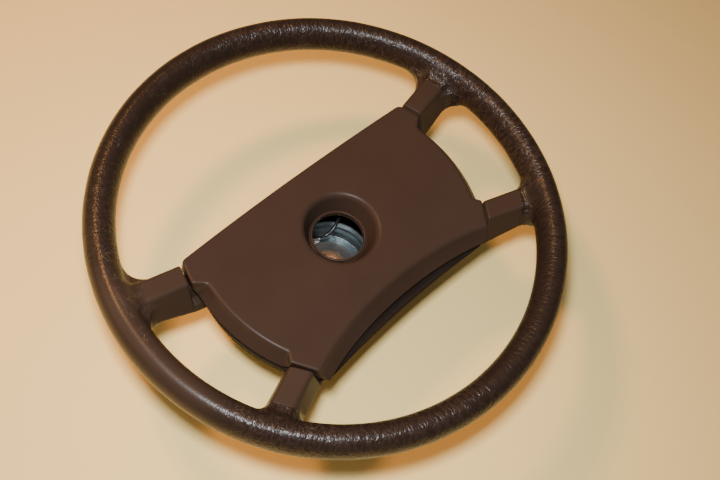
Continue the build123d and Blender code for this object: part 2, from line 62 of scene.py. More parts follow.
MM = 0.001

# The rim: its axis above the hub's, its radius and level, and the radius inside which its skin has no grain
RIM_AXIS_Y = 9.0
RIM_RADIUS = 187.5
RIM_LEVEL = 128.0
GRAIN_LINE = 166.0

# Arithmetic: a guard against division by zero, the most of a leg that a rounded corner takes, a direction
# that no tube starts along, and the whole numbers of the pseudo-random cells
TINY = 1e-12
MOST_CUT = 0.49
OFF_LINE = (0.3, 0.5, 0.8)
HASH_AXES = np.array([374761393, 668265263, 1440662683])
HASH_SEED, HASH_MIX, HASH_MASK = 974634521, 1274126177, 0xFFFFFFFF

# Types
Array = np.ndarray
Pair = tuple[float, float]
Triple = tuple[float, float, float]
Zone = Triple
Profile = tuple[Triple, ...]
Steps = tuple[float, float, int]


class Body(Enum):
    """The CAD bodies that pieces ride on."""

    WHEEL = "wheel"
    PAD = "horn_pad"


# Arithmetic on whole arrays


def ramp(low: float, high: float, x: Array) -> Array:
    """Smooth step from 0 at low to 1 at high: 3t^2 - 2t^3 of the clipped share t.

    Args:
        low: Where the step starts.
        high: Where it ends; it may lie below low.
        x: Values to map.

    Returns:
        The step's value at each x.
    """
    share = np.clip((x - low) / (high - low), 0.0, 1.0)
    return share * share * (3.0 - 2.0 * share)


def soft_min(a: Array, b: Array, reach: Array | float) -> Array:
    """Smaller of two fields, rounded where they differ by less than reach.

    Args:
        a: First field.
        b: Second field.
        reach: Width of the rounded part.

    Returns:
        The blended field: a straight mix less reach * h * (1 - h), h the mix share.
    """
    share = np.clip(0.5 + 0.5 * (b - a) / reach, 0.0, 1.0)
    return b + (a - b) * share - reach * share * (1.0 - share)


def soft_max(a: Array, b: Array, reach: Array | float) -> Array:
    """Larger of two fields, rounded in the same way as soft_min."""
    return -soft_min(-a, -b, reach)


def mix(first: Array | float, last: Array | float, share: Array | float) -> Array:
    """Straight mix: the first value at share 0, the last at share 1."""
    return first * (1 - share) + last * share


def bend(first: Array, corner: Array, last: Array, share: Array | float) -> Array:
    """Quadratic curve from the first point to the last, drawn towards a corner."""
    return (1 - share) ** 2 * first + 2 * share * (1 - share) * corner + share**2 * last


def columns(*parts: Array | float) -> Array:
    """Coordinates side by side on a new last axis, each spread to the shape that all share."""
    return np.stack(np.broadcast_arrays(*parts), axis=-1)


def around(radius: Array | float, turn: Array | float) -> Array:
    """Plan points from distances to the hub's axis and angles in radians."""
    return columns(radius * np.cos(turn), radius * np.sin(turn))


def circle(count: int) -> Array:
    """Even angles round a full turn."""
    return np.linspace(0, 2 * np.pi, count, endpoint=False)


def lift(plan: Array, height: Array | float) -> Array:
    """Plan points with their heights, or with one height for all."""
    return columns(plan[:, 0], plan[:, 1], height)


def lattice_value(cells: Array, seed: int) -> Array:
    """Repeatable pseudo-random number from 0 to 1 for each whole-number cell.

    Args:
        cells: Whole-number coordinates, last axis of length 3.
        seed: Chooses the pattern.

    Returns:
        One value per cell, from integer multiplication and shifts.
    """
    mixed = ((cells.astype(np.int64) * HASH_AXES).sum(-1) + seed * HASH_SEED) & HASH_MASK
    mixed = ((mixed ^ (mixed >> 13)) * HASH_MIX) & HASH_MASK
    return (mixed ^ (mixed >> 16)) / HASH_MASK


def value_noise(points: Array, cell: float, seed: int) -> Array:
    """Smooth noise from -1 to 1: lattice values blended through each cell by cubic weights.

    Args:
        points: Positions, last axis of length 3.
        cell: Size of a lattice cell.
        seed: Chooses the pattern.

    Returns:
        One value per point.
    """
    scaled = points / cell
    base = np.floor(scaled)
    weight = ramp(0.0, 1.0, scaled - base)
    total = np.zeros(points.shape[:-1])
    for corner in np.ndindex(2, 2, 2):
        offset = np.array(corner)
        share = np.prod(np.where(offset == 1, weight, 1.0 - weight), axis=-1)
        total += share * lattice_value(base + offset, seed)
    return 2.0 * total - 1.0


def rounded_profile(points: Profile, steps: int = 6) -> Array:
    """Open profile through corner points, each corner replaced by a quadratic curve.

    Args:
        points: (radius or offset, height, cut) for each corner; cut is the length taken off each leg,
            and at most just under half of the leg is.
        steps: Points on each rounded corner.

    Returns:
        Array (n, 2) along the profile.
    """
    corners = np.array(points, float)[:, :2]
    rows = []
    share = np.linspace(0.0, 1.0, steps)[:, None]
    for index, (_, _, cut) in enumerate(points):
        here = corners[index]
        if cut <= 0 or index in (0, len(points) - 1):
            rows.append(here[None, :])
            continue
        ends = []
        for leg in (corners[index - 1] - here, corners[index + 1] - here):
            length = np.linalg.norm(leg)
            ends.append(here + leg / length * min(cut, MOST_CUT * length))
        rows.append(bend(ends[0], here, ends[1], share))
    return np.concatenate(rows)


def blur_loop(values: Array, sigma: float) -> Array:
    """Closed row of values averaged with a bell-shaped weight, by multiplying its Fourier terms.

    Args:
        values: (n, k) values round a loop.
        sigma: Width of the bell, in samples.

    Returns:
        The averaged values, same shape.
    """
    turn = np.fft.fftfreq(len(values))[:, None]
    bell = np.exp(-2 * (np.pi * turn * sigma) ** 2)
    return np.fft.ifft(np.fft.fft(values, axis=0) * bell, axis=0).real


# Meshes


def put(name: str, data: ID) -> Object:
    """New object of the scene.

    Args:
        name: Its name.
        data: The mesh, curve, light or camera that it shows.

    Returns:
        The object, at the origin.
    """
    piece = bpy.data.objects.new(name, data)
    bpy.context.scene.collection.objects.link(piece)
    return piece


def stand(piece: Object, right: Array, up: Array, back: Array, place: Array) -> None:
    """Put an object at a place with its axes along three unit vectors."""
    axes = [(*right, 0), (*up, 0), (*back, 0), (*place, 1)]
    piece.matrix_world = Matrix(axes).transposed()


def grid_piece(name: str, points: Array, body: Body | None, close_rows: bool = True) -> Object:
    """Mesh of quads on a grid that closes round its columns; its rows close too, or end in flat caps.

    Args:
        name: Name of the piece.
        points: (rows, columns, 3) positions in millimetres.
        body: CAD body that it rides on, or None for a piece left on no body.
        close_rows: Join the last row to the first, which makes a closed ring.

    Returns:
        The new object, smooth shaded, faces turned outwards, with its place in its mesh.
    """
    index = np.arange(points[..., 0].size).reshape(points.shape[:2])
    near = index if close_rows else index[:-1]
    far = np.roll(index, -1, axis=0) if close_rows else index[1:]
    quads = columns(near, np.roll(near, -1, 1), np.roll(far, -1, 1), far).reshape(-1, 4)
    caps = [] if close_rows else [index[0, ::-1], index[-1]]
    corners = np.concatenate([quads.ravel(), *caps]).astype(np.int32)
    sizes = np.array([4] * len(quads) + [len(cap) for cap in caps])
    flat = points.reshape(-1, 3)
    mesh = bpy.data.meshes.new(name)
    mesh.vertices.add(len(flat))
    mesh.vertices.foreach_set("co", (flat * MM).astype(np.float32).ravel())
    mesh.loops.add(len(corners))
    mesh.loops.foreach_set("vertex_index", corners)
    mesh.polygons.add(len(sizes))
    mesh.polygons.foreach_set("loop_start", (np.cumsum(sizes) - sizes).astype(np.int32))
    mesh.polygons.foreach_set("use_smooth", sizes == 4)
    mesh.update(calc_edges=True)
    if signed_volume(flat, quads) < 0:
        mesh.flip_normals()
    piece = put(name, mesh)
    if body:
        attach(piece, body.value)
    LOG.info("%s: %d faces", name, len(sizes))
    return piece


def signed_volume(points: Array, quads: Array) -> float:
    """Six times the volume inside a closed mesh of quads, negative where its faces point inwards."""
    a, b, c, d = (points[quads[:, corner]] for corner in range(4))
    return float((np.cross(b - a, c - a) * a).sum() + (np.cross(c - a, d - a) * a).sum())


def paint(piece: Object, name: str, values: Array) -> None:
    """Store one number per vertex under a name that a finish reads."""
    layer = piece.data.attributes.new(name, "FLOAT", "POINT")
    layer.data.foreach_set("value", values.astype(np.float32).ravel())


def tube(line: Array, width: float, count: int = 20) -> Array:
    """Rows of a round tube along a line; each ring's first direction is carried on from the ring before.

    Args:
        line: (n, 3) points of the middle line.
        width: Diameter.
        count: Points round the tube.

    Returns:
        (n, count, 3) points.
    """
    ahead = np.gradient(line, axis=0)
    ahead /= np.linalg.norm(ahead, axis=1, keepdims=True)
    side = np.cross(ahead[0], OFF_LINE)
    sides = []
    for direction in ahead:
        side = side - direction * (side @ direction)
        side = side / np.linalg.norm(side)
        sides.append(side)
    turn = circle(count)[None, :, None]
    across = np.cos(turn) * np.array(sides)[:, None] + np.sin(turn) * np.cross(ahead, sides)[:, None]
    return line[:, None] + 0.5 * width * across


# Finishes


def linear(hex_colour: str) -> tuple[float, float, float, float]:
    """Linear colour from an sRGB hex value.

    Args:
        hex_colour: Six hex digits.

    Returns:
        Red, green, blue and alpha 1.
    """
    parts = np.array([int(hex_colour[i : i + 2], 16) for i in (0, 2, 4)]) / 255.0
    low, high = parts / 12.92, ((parts + 0.055) / 1.055) ** 2.4
    return (*np.where(parts <= 0.04045, low, high), 1.0)


def feed(tree: NodeTree, node: Node, inputs: dict) -> None:
    """Set inputs of a node: a socket is linked and a plain value is stored.

    Args:
        tree: Node tree of a material.
        node: Node of that tree.
        inputs: Values or feeding sockets, keyed by an input's name or number.
    """
    for key, value in inputs.items():
        if isinstance(value, NodeSocket):
            tree.links.new(value, node.inputs[key])
        else:
            node.inputs[key].default_value = value


def add(
    tree: NodeTree, kind: str, inputs: dict | tuple = (), out: str | int = 0, **settings: object
) -> NodeSocket:
    """Add one node with its settings and inputs.

    Args:
        tree: Node tree of a material.
        kind: Node type after the words that all shader nodes share.
        inputs: Values or feeding sockets, in order or keyed by an input's name or number.
        out: Name or number of the output that is wanted.
        settings: Attributes of the node.

    Returns:
        That output's socket.
    """
    node = tree.nodes.new(f"ShaderNode{kind}")
    for key, value in settings.items():
        setattr(node, key, value)
    feed(tree, node, inputs if isinstance(inputs, dict) else dict(enumerate(inputs)))
    return node.outputs[out]


def blank(name: str) -> tuple[Material, NodeTree, Node]:
    """New node material.

    Args:
        name: Its name.

    Returns:
        The material, its tree and its shader node.
    """
    material = bpy.data.materials.new(name)
    material.use_nodes = True
    return material, material.node_tree, material.node_tree.nodes["Principled BSDF"]


def per_mm(size: float) -> float:
    """Texture scale, in Object coordinates of metres, that gives a pattern this many millimetres across."""
    return 1.0 / (size * MM)


@dataclass(frozen=True)
class SmoothSkin:
    """Integral-skin polyurethane foam, dyed through and released from a polished tool.

    The eye sees a dull brown with a soft sheen: fine pores scatter the light, and the tone drifts a little
    from one hand's breadth to the next. Real pores are too fine to show, so they are drawn as coarse as
    pore_mm.
    """

    name: str
    colour: str
    faded: str
    roughness: float
    specular: float
    pore_mm: float
    pore_depth_mm: float
    drift_mm: float = 38.0
    gloss_spread: float = 0.09
    pore_strength: float = 0.7

    def base(self, tree: NodeTree, place: NodeSocket) -> tuple[NodeSocket, NodeSocket]:
        """Patterns that every skin has.

        Args:
            tree: Node tree of the material.
            place: Object coordinates.

        Returns:
            The drifting tone and the pores.
        """
        drift = add(tree, "TexNoise", {"Vector": place, "Scale": per_mm(self.drift_mm), "Detail": 4.0})
        pores = add(tree, "TexNoise", {"Vector": place, "Scale": per_mm(self.pore_mm), "Detail": 3.0})
        ends = {6: linear(self.colour), 7: linear(self.faded)}
        return add(tree, "Mix", {0: drift, **ends}, 2, data_type="RGBA"), pores

    def make(self) -> Material:
        """Build the material from its named values.

        Returns:
            The material.
        """
        material, tree, shader = blank(self.name)
        tone, pores = self.base(tree, add(tree, "TexCoord", out="Object"))
        glosses = (self.roughness - self.gloss_spread, self.roughness + self.gloss_spread)
        gloss = add(tree, "MapRange", (pores, 0.0, 1.0, *glosses))
        depth = {"Strength": self.pore_strength, "Distance": self.pore_depth_mm * MM}
        bump = add(tree, "Bump", {"Height": pores, **depth}, "Normal")
        feed(tree, shader, {"Base Color": tone, "Roughness": gloss, "Normal": bump})
        feed(tree, shader, {"Specular IOR Level": self.specular})
        return material


@dataclass(frozen=True)
class GrainedSkin(SmoothSkin):
    """The same foam where the tool was etched with leather grain, and smooth inside the grain's line.

    The eye sees leather cells that break up the highlights, wrinkles that cross the tube with crests a
    little paler as a painted highlight, a thin flash line at the mould's parting and a cut line where the
    grain ends on the spokes. Where hands have rubbed, the cells are nearly gone; in places old dust shows as
    hair lines in fine cracks.
    """

    deep: str = "1C1410"
    deep_share: float = 0.85
    # Crest colour: a painted highlight on the ridges of the wrinkles
    crest: str = "5E483C"
    crest_highlight_share: float = 0.13
    dust: str = "8C7B66"
    grained_roughness: float = 0.27
    grained_specular: float = 0.22
    pore_gloss: float = 0.12
    wear: float = 0.85
    cell_mm: float = 2.4
    cell_rise: float = 0.30
    cell_depth_mm: float = 0.10
    wrinkle_mm: float = 4.4
    wrinkle_reach: float = 0.13
    wrinkle_depth_mm: float = 0.34
    line_mm: float = 0.45
    line_soft_mm: float = 0.3
    line_depth_mm: float = 0.16
    crack_mm: float = 5.0
    crack_reach: float = 0.03
    sway_mm: float = 7.0
    sway_by_mm: float = 3.0
    drawn_out: Triple = (0.7, 0.42, 1.0)

    def rings(self, tree: NodeTree, place: NodeSocket) -> tuple[NodeSocket, NodeSocket, list[NodeSocket]]:
        """Coordinates that follow the rim.

        Args:
            tree: Node tree of the material.
            place: Object coordinates.

        Returns:
            Distance from the rim's axis, height, and ring coordinates for cells, wrinkles and cracks: arc
            length, and the two lengths across the tube shortened so that patterns are drawn out that way.
        """
        shift = (place, (1.0, 1.0, 0.0), (0.0, -RIM_AXIS_Y * MM, 0.0))
        flat = add(tree, "VectorMath", shift, operation="MULTIPLY_ADD")
        radius = add(tree, "VectorMath", (flat,), "Value", operation="LENGTH")
        height = add(tree, "SeparateXYZ", (place,), "Z")
        sides = tuple(add(tree, "SeparateXYZ", (flat,), axis) for axis in "YX")
        angle = add(tree, "Math", sides, operation="ARCTAN2")
        polar = add(tree, "CombineXYZ", (angle, radius, height))
        waves = {"Vector": place, "Scale": per_mm(self.sway_mm), "Detail": 2.0}
        sway = add(tree, "TexNoise", waves, "Color")
        sway_by = (self.sway_by_mm * MM,) * 3
        stretched = []
        for share in self.drawn_out:
            even = add(tree, "Mapping", {"Vector": polar, "Scale": (RIM_RADIUS * MM, share, share)})
            stretched.append(add(tree, "VectorMath", (sway, sway_by, even), operation="MULTIPLY_ADD"))
        return radius, height, stretched

    def make(self) -> Material:
        """Build the material from its named values; the heights are summed in millimetres for one bump.

        Returns:
            The material.
        """
        material, tree, shader = blank(self.name)
        place = add(tree, "TexCoord", out="Object")
        tone, pores = self.base(tree, place)
        worn, creased, cracked = (
            add(tree, "Attribute", out="Fac", attribute_name=mask) for mask in ("worn", "creased", "cracked")
        )
        radius, height, (for_cells, for_folds, for_cracks) = self.rings(tree, place)
        cell_edge, crack_edge = (
            add(tree, "TexVoronoi", {"Vector": ring, "Scale": per_mm(size)}, feature="DISTANCE_TO_EDGE")
            for ring, size in ((for_cells, self.cell_mm), (for_cracks, self.crack_mm))
        )
        folds = add(tree, "TexNoise", {"Vector": for_folds, "Scale": per_mm(self.wrinkle_mm), "Detail": 1.0})

        lines = []
        for value, middle, reach in (
            (folds, 0.5, self.wrinkle_reach),
            (height, RIM_LEVEL * MM, self.line_mm * MM),
            (radius, GRAIN_LINE * MM, self.line_mm * MM),
        ):
            off = add(tree, "Math", (value, middle), operation="SUBTRACT")
            off = add(tree, "Math", (off,), operation="ABSOLUTE")
            lines.append(add(tree, "MapRange", (off, reach, 0.0), interpolation_type="SMOOTHSTEP"))
        crest, parting, ending = lines
        crest = add(tree, "Math", (crest, creased), operation="MULTIPLY")
        edges = ((GRAIN_LINE - self.line_soft_mm) * MM, (GRAIN_LINE + self.line_soft_mm) * MM)
        beyond = add(tree, "MapRange", (radius, *edges), interpolation_type="SMOOTHSTEP")
        kept = add(tree, "Math", (worn, -self.wear, 1.0), operation="MULTIPLY_ADD")
        kept = add(tree, "Math", (kept, beyond), operation="MULTIPLY")

        rise = (cell_edge, 0.0, self.cell_rise, 0.0, self.cell_depth_mm)
        relief = add(tree, "MapRange", rise, interpolation_type="SMOOTHSTEP")
        for pattern, depth in ((crest, self.wrinkle_depth_mm), (parting, self.line_depth_mm)):
            relief = add(tree, "Math", (pattern, depth, relief), operation="MULTIPLY_ADD")
        relief = add(tree, "Math", (relief, kept), operation="MULTIPLY")
        for pattern, depth in ((ending, -self.line_depth_mm), (pores, self.pore_depth_mm)):
            relief = add(tree, "Math", (pattern, depth, relief), operation="MULTIPLY_ADD")
        bump = add(tree, "Bump", {"Height": relief, "Distance": MM}, "Normal")

        # Painted highlight: the wrinkles' crests made paler where the grain is kept
        pale = add(tree, "Math", (crest, kept), operation="MULTIPLY")
        cracks = add(tree, "MapRange", (crack_edge, self.crack_reach, 0.0), interpolation_type="SMOOTHSTEP")
        cracks = add(tree, "Math", (cracks, cracked), operation="MULTIPLY")
        for pattern, most, colour in (
            (kept, self.deep_share, self.deep),
            (pale, self.crest_highlight_share, self.crest),
            (cracks, 1.0, self.dust),
        ):
            share = add(tree, "MapRange", (pattern, 0.0, 1.0, 0.0, most))
            tone = add(tree, "Mix", {0: share, 6: tone, 7: linear(colour)}, 2, data_type="RGBA")
        gloss = add(tree, "MapRange", (beyond, 0.0, 1.0, self.roughness, self.grained_roughness))
        gloss = add(tree, "Math", (pores, self.pore_gloss, gloss), operation="MULTIPLY_ADD")
        sheen = add(tree, "MapRange", (beyond, 0.0, 1.0, self.specular, self.grained_specular))
        feed(tree, shader, {"Base Color": tone, "Roughness": gloss, "Normal": bump})
        feed(tree, shader, {"Specular IOR Level": sheen})
        return material


@dataclass(frozen=True)
class InnerFinish:
    """Pieces inside and behind: metals, bare, plated or painted, and plastics and filler foam.

    The eye sees a mottled colour, fine lines left by drawing, turning or handling, and edges that catch the
    light because they are never quite sharp. Real lines are too fine to show, so they are drawn as coarse as
    line_mm. Painted shade, where there is any, turns the piece black and without sheen above a height,
    fading out over a few millimetres below it; on the pot it stands for the shadow in its mouth.
    """

    name: str
    colour: str
    stain: str
    roughness: float
    metallic: float = 1.0
    mottle_mm: float = 9.0
    mottle_span: Pair = (0.38, 0.68)
    gloss_span: Pair = (-0.08, 0.12)
    line_mm: float = 0.5
    line_draw: float = 0.15
    line_depth_mm: float = 0.02
    line_strength: float = 0.5
    edge_mm: float = 0.4
    # paint is the colour of a painted shade: black over the piece above a height, for shadow
    paint: str = ""
    shade_from_mm: float = 0.0
    shade_fade_mm: float = 5.0

    def make(self) -> Material:
        """Build the material from its named values.

        Returns:
            The material.
        """
        material, tree, shader = blank(self.name)
        place = add(tree, "TexCoord", out="Object")
        mottle = add(tree, "TexNoise", {"Vector": place, "Scale": per_mm(self.mottle_mm), "Detail": 5.0})
        spread = add(tree, "MapRange", (mottle, *self.mottle_span))
        ends = {6: linear(self.colour), 7: linear(self.stain)}
        tone = add(tree, "Mix", {0: spread, **ends}, 2, data_type="RGBA")
        flat = add(tree, "Mapping", {"Vector": place, "Scale": (self.line_draw, self.line_draw, 1.0)})
        lines = add(tree, "TexNoise", {"Vector": flat, "Scale": per_mm(self.line_mm), "Detail": 3.0})
        glosses = (self.roughness + step for step in self.gloss_span)
        gloss = add(tree, "MapRange", (mottle, 0.0, 1.0, *glosses))
        edge = add(tree, "Bevel", {"Radius": self.edge_mm * MM})
        depth = {"Strength": self.line_strength, "Distance": self.line_depth_mm * MM}
        bump = add(tree, "Bump", {"Height": lines, "Normal": edge, **depth}, "Normal")
        feed(tree, shader, {"Metallic": self.metallic})
        # Painted shade: above the height the colour turns black and the metal and its sheen go, standing for
        # shadow
        if self.paint:
            height = add(tree, "SeparateXYZ", (place,), "Z")
            fade = (self.shade_from_mm * MM, (self.shade_from_mm + self.shade_fade_mm) * MM)
            in_shade = add(tree, "MapRange", (height, *fade), interpolation_type="SMOOTHSTEP")
            tone = add(tree, "Mix", {0: in_shade, 6: tone, 7: linear(self.paint)}, 2, data_type="RGBA")
            bare = add(tree, "MapRange", (in_shade, 0.0, 1.0, self.metallic, 0.0))
            feed(tree, shader, {"Metallic": bare, "Specular IOR Level": bare})
        feed(tree, shader, {"Base Color": tone, "Roughness": gloss, "Normal": bump})
        return material


# Brown foam from an etched tool: leather grain breaks its sheen into small glints
RIM_SKIN = GrainedSkin("grained_integral_skin_foam", "2F231B", "352921", 0.36, 0.08, 0.8, 0.03)
# Brown foam from a polished tool: an even tone with a broad, soft sheen
PAD_SKIN = SmoothSkin("smooth_integral_skin_foam", "2E221B", "342821", 0.36, 0.09, 0.9, 0.03)
# The moulding's back behind the pad: rough and almost without shine; its near-black colour is painted
# shade for the shadow under the pad's skirts
TRAY_SKIN = SmoothSkin("rough_foam_painted_shade", "150E0A", "1D140F", 0.72, 0.1, 1.6, 0.08)
# Zinc plate on drawn steel: blue-grey metal below; above 44 mm a black painted shade without sheen stands
# for the shadow in the pot's mouth
ZINC = InnerFinish("zinc_plated_drawn_steel", "7E878A", "5F6769", 0.40, paint="0A0908", shade_from_mm=44.0)
# Phosphated turned steel: a warm, coppery brown with close turning lines
COPPERED = InnerFinish("phosphated_turned_steel", "A08063", "7A5C49", 0.45, line_mm=0.35)
# Bright turned steel: pale, with a clear highlight
RING_STEEL = InnerFinish("bright_turned_steel", "D2CFC8", "B5AFA5", 0.28)
# Brass dipped in solder: almost white, with a dull gleam; this near-white, mostly non-metal colour is partly
# painted highlight, so the terminal shows bright where it lies in shade
TINNED_GLINT = InnerFinish("tinned_brass_painted_glint", "E4E0D8", "CBC5BA", 0.34, metallic=0.25, line_depth_mm=0.01)
# Black enamel on steel: near-black with a plain gloss
BLACK_STEEL = InnerFinish("black_enamelled_steel", "1B1A19", "2B2826", 0.42, metallic=0.0)
# Rolled brass: yellow metal with brown stains
BRASS = InnerFinish("rolled_brass", "B99552", "8C6B38", 0.33)
# Drawn spring steel: mid-grey metal
SPRING_STEEL = InnerFinish("drawn_spring_steel", "8E8F8E", "6B6C6B", 0.32)
# Moulded phenolic: dull black
PHENOLIC = InnerFinish("black_phenolic_moulding", "161514", "24211E", 0.48, metallic=0.0, line_depth_mm=0.01)
# Flexible foam: a matt, mottled sand colour
BUFF_FOAM = InnerFinish("buff_flexible_foam", "A58C63", "8A7350", 0.85, metallic=0.0, mottle_mm=3.0)
# Natural nylon: off-white with a soft gloss
NYLON = InnerFinish("natural_nylon", "CFC8B6", "BDB49E", 0.45, metallic=0.0, line_depth_mm=0.01)
# Vinyl insulation: black with a satin gloss
VINYL = InnerFinish("black_vinyl_insulation", "121213", "1C1C1E", 0.38, metallic=0.0, line_depth_mm=0.01)


# Forms shared by the pad, the spokes and the rim


@dataclass(frozen=True)
class Dish:
    """Hollow face of the pad: an arc across the wheel that runs on along its tangents."""

    low: float = 113.0
    radius: float = 680.0
    half: float = 122.0

    def height(self, x: Array) -> Array:
        """Height of the face: the circle inside the half width, then a straight line.

        Args:
            x: Distances from the middle.

        Returns:
            One height for each.
        """
        reach = np.minimum(np.abs(x), self.half)
        side = np.sqrt(self.radius**2 - reach**2)
        return self.low + self.radius - side + (np.abs(x) - reach) * reach / side

    def under(self, plan: Array, below: float = 0.0) -> Array:
        """Plan points put on the face, or a distance below it."""
        return lift(plan, self.height(plan[:, 0]) - below)


@dataclass(frozen=True)
class RimForm:
    """Oval ring about an axis a little above the hub's."""

    radius: float = RIM_RADIUS
    radial: float = 12.5
    axial: float = 17.0
    rise: float = RIM_AXIS_Y
    level: float = RIM_LEVEL

    def field(self, points: Array) -> Array:
        """Distance to the oval, from its scaled radius g: (g - 1) * g over the slope of g.

        Args:
            points: Positions in millimetres.

        Returns:
            The distances, negative inside.
        """
        across, up = self.polar(points)[0] - self.radius, points[..., 2] - self.level
        scaled = np.hypot(across / self.radial, up / self.axial) + TINY
        slope = np.hypot(across / self.radial**2, up / self.axial**2) + TINY
        return (scaled - 1.0) * scaled / slope

    def polar(self, points: Array) -> tuple[Array, Array]:
        """Distance from the rim's axis, and angle in degrees from the right."""
        x, y = points[..., 0], points[..., 1] - self.rise
        return np.hypot(x, y), np.degrees(np.arctan2(y, x))


@dataclass(frozen=True)
class SpokeForm:
    """One spoke of the right half: a leaning trapezoid section carried from the gap to the rim.

    Runs are measured along the spoke from its root, and offsets to its left. From top to bottom the sides
    spread by spread_up and spread_low. The fillets are the widths of its blends with the rim. The pad's gap
    crosses it at gap_run, slanted by gap_skew.
    """

    root: Pair
    angle: float
    width: float
    spread_up: float
    spread_low: float
    fillet_up: float
    fillet_low: float
    gap_run: float
    gap_skew: float
    dish: Dish = Dish()
    underside: tuple[Pair, ...] = (
        (-30, 82), (0, 86), (18, 97), (34, 106), (46, 113), (90, 113)
    )
    slant_up: float = 0.97
    slant_low: float = 0.93
    underside_blur: tuple[float, ...] = (-4, -2, 0, 2, 4)
    edge: float = 3.6
    low_edge: float = 5.4
    gap_edge: float = 1.6
    end_edge: float = 3.0
    crown: float = 8.0
    least_blend: float = 2.0
    crest: Pair = (187.0, 177.0)
    middle: Pair = (-4.0, 4.0)
    shoulder: Pair = (1.0, 7.0)
    lift_from: float = 36.0
    lift_run: float = 13.0
    lift: float = 7.4
    lift_most: float = 1.3
    lip_drop: float = 16.0
    flank_drop: float = 12.0
    flank: Pair = (6.0, 11.0)
    end: float = 50.0

    def axes(self) -> tuple[Array, Array]:
        """Unit vectors along the spoke and to its left."""
        turn = np.radians(self.angle)
        return around(1.0, turn), np.array([-np.sin(turn), np.cos(turn)])

    def local(self, points: Array) -> tuple[Array, Array, Array]:
        """Run, lateral offset and height of points of the right half."""
        plan = points[..., :2] - np.array(self.root)
        return *(plan @ axis for axis in self.axes()), points[..., 2]

    def top(self, run: Array) -> Array:
        """Height of the upper face: the dish's tangent, with a parabola that climbs to the rim."""
        climb = np.clip((run - self.lift_from) / self.lift_run, 0.0, self.lift_most)
        return self.dish.height(self.root[0] + run * self.axes()[0][0]) + self.lift * climb**2

    def bottom(self, run: Array) -> Array:
        """Height of the underside: straight runs between named points, averaged over a few shifts."""
        runs, lows = np.array(self.underside, float).T
        return np.mean([np.interp(run + shift, runs, lows) for shift in self.underside_blur], axis=0)

    def field(self, points: Array) -> Array:
        """Rounded largest of the distances to the five faces, less the space above the pad's gap.

        Args:
            points: Positions of the right half.

        Returns:
            The distances, negative inside.
        """
        run, offset, height = self.local(points)
        top, low = self.top(run), self.bottom(run)
        drop = (top - height) / (top - low)
        lean_up = (offset - self.width / 2 - self.spread_up * drop) * self.slant_up
        lean_low = (-offset - self.width / 2 - self.spread_low * drop) * self.slant_low
        sides = soft_max(lean_up, lean_low, self.edge)
        body = soft_max(soft_max(sides, height - top, self.edge), low - height, self.low_edge)
        sunk = self.lip_drop + self.flank_drop * ramp(*self.flank, np.abs(offset))
        lip = self.dish.height(points[..., 0]) - sunk
        notch = np.minimum(self.gap_at(offset) - run, height - lip)
        body = soft_max(body, notch, self.gap_edge)
        return soft_max(body, run - self.end, self.end_edge)

    def gap_at(self, offset: Array) -> Array:
        """Run at which the pad's gap crosses a lateral offset."""
        return self.gap_run + self.gap_skew * offset

    def reach(self, points: Array) -> Array:
        """Width of the blend with the rim: tight on top, wide on the two sides, and least at the crest.

        Args:
            points: Positions of the right half.

        Returns:
            One width for each point.
        """
        run, offset, height = self.local(points)
        side = self.fillet_low + (self.fillet_up - self.fillet_low) * ramp(*self.middle, offset)
        below = ramp(*self.shoulder, self.top(run) - height)
        inner = ramp(*self.crest, np.hypot(points[..., 0], points[..., 1] - RIM_AXIS_Y))
        return self.least_blend + (self.crown - self.least_blend + (side - self.crown) * below) * inner


UPPER = SpokeForm((128.0, 44.0), 9.75, 18.4, 3.0, 11.5, 26.0, 20.0, 0.54, -0.101)
LOWER = SpokeForm((107.6, -70.0), -22.0, 18.2, 3.5, 10.5, 13.0, 16.0, 1.12, 0.2255)


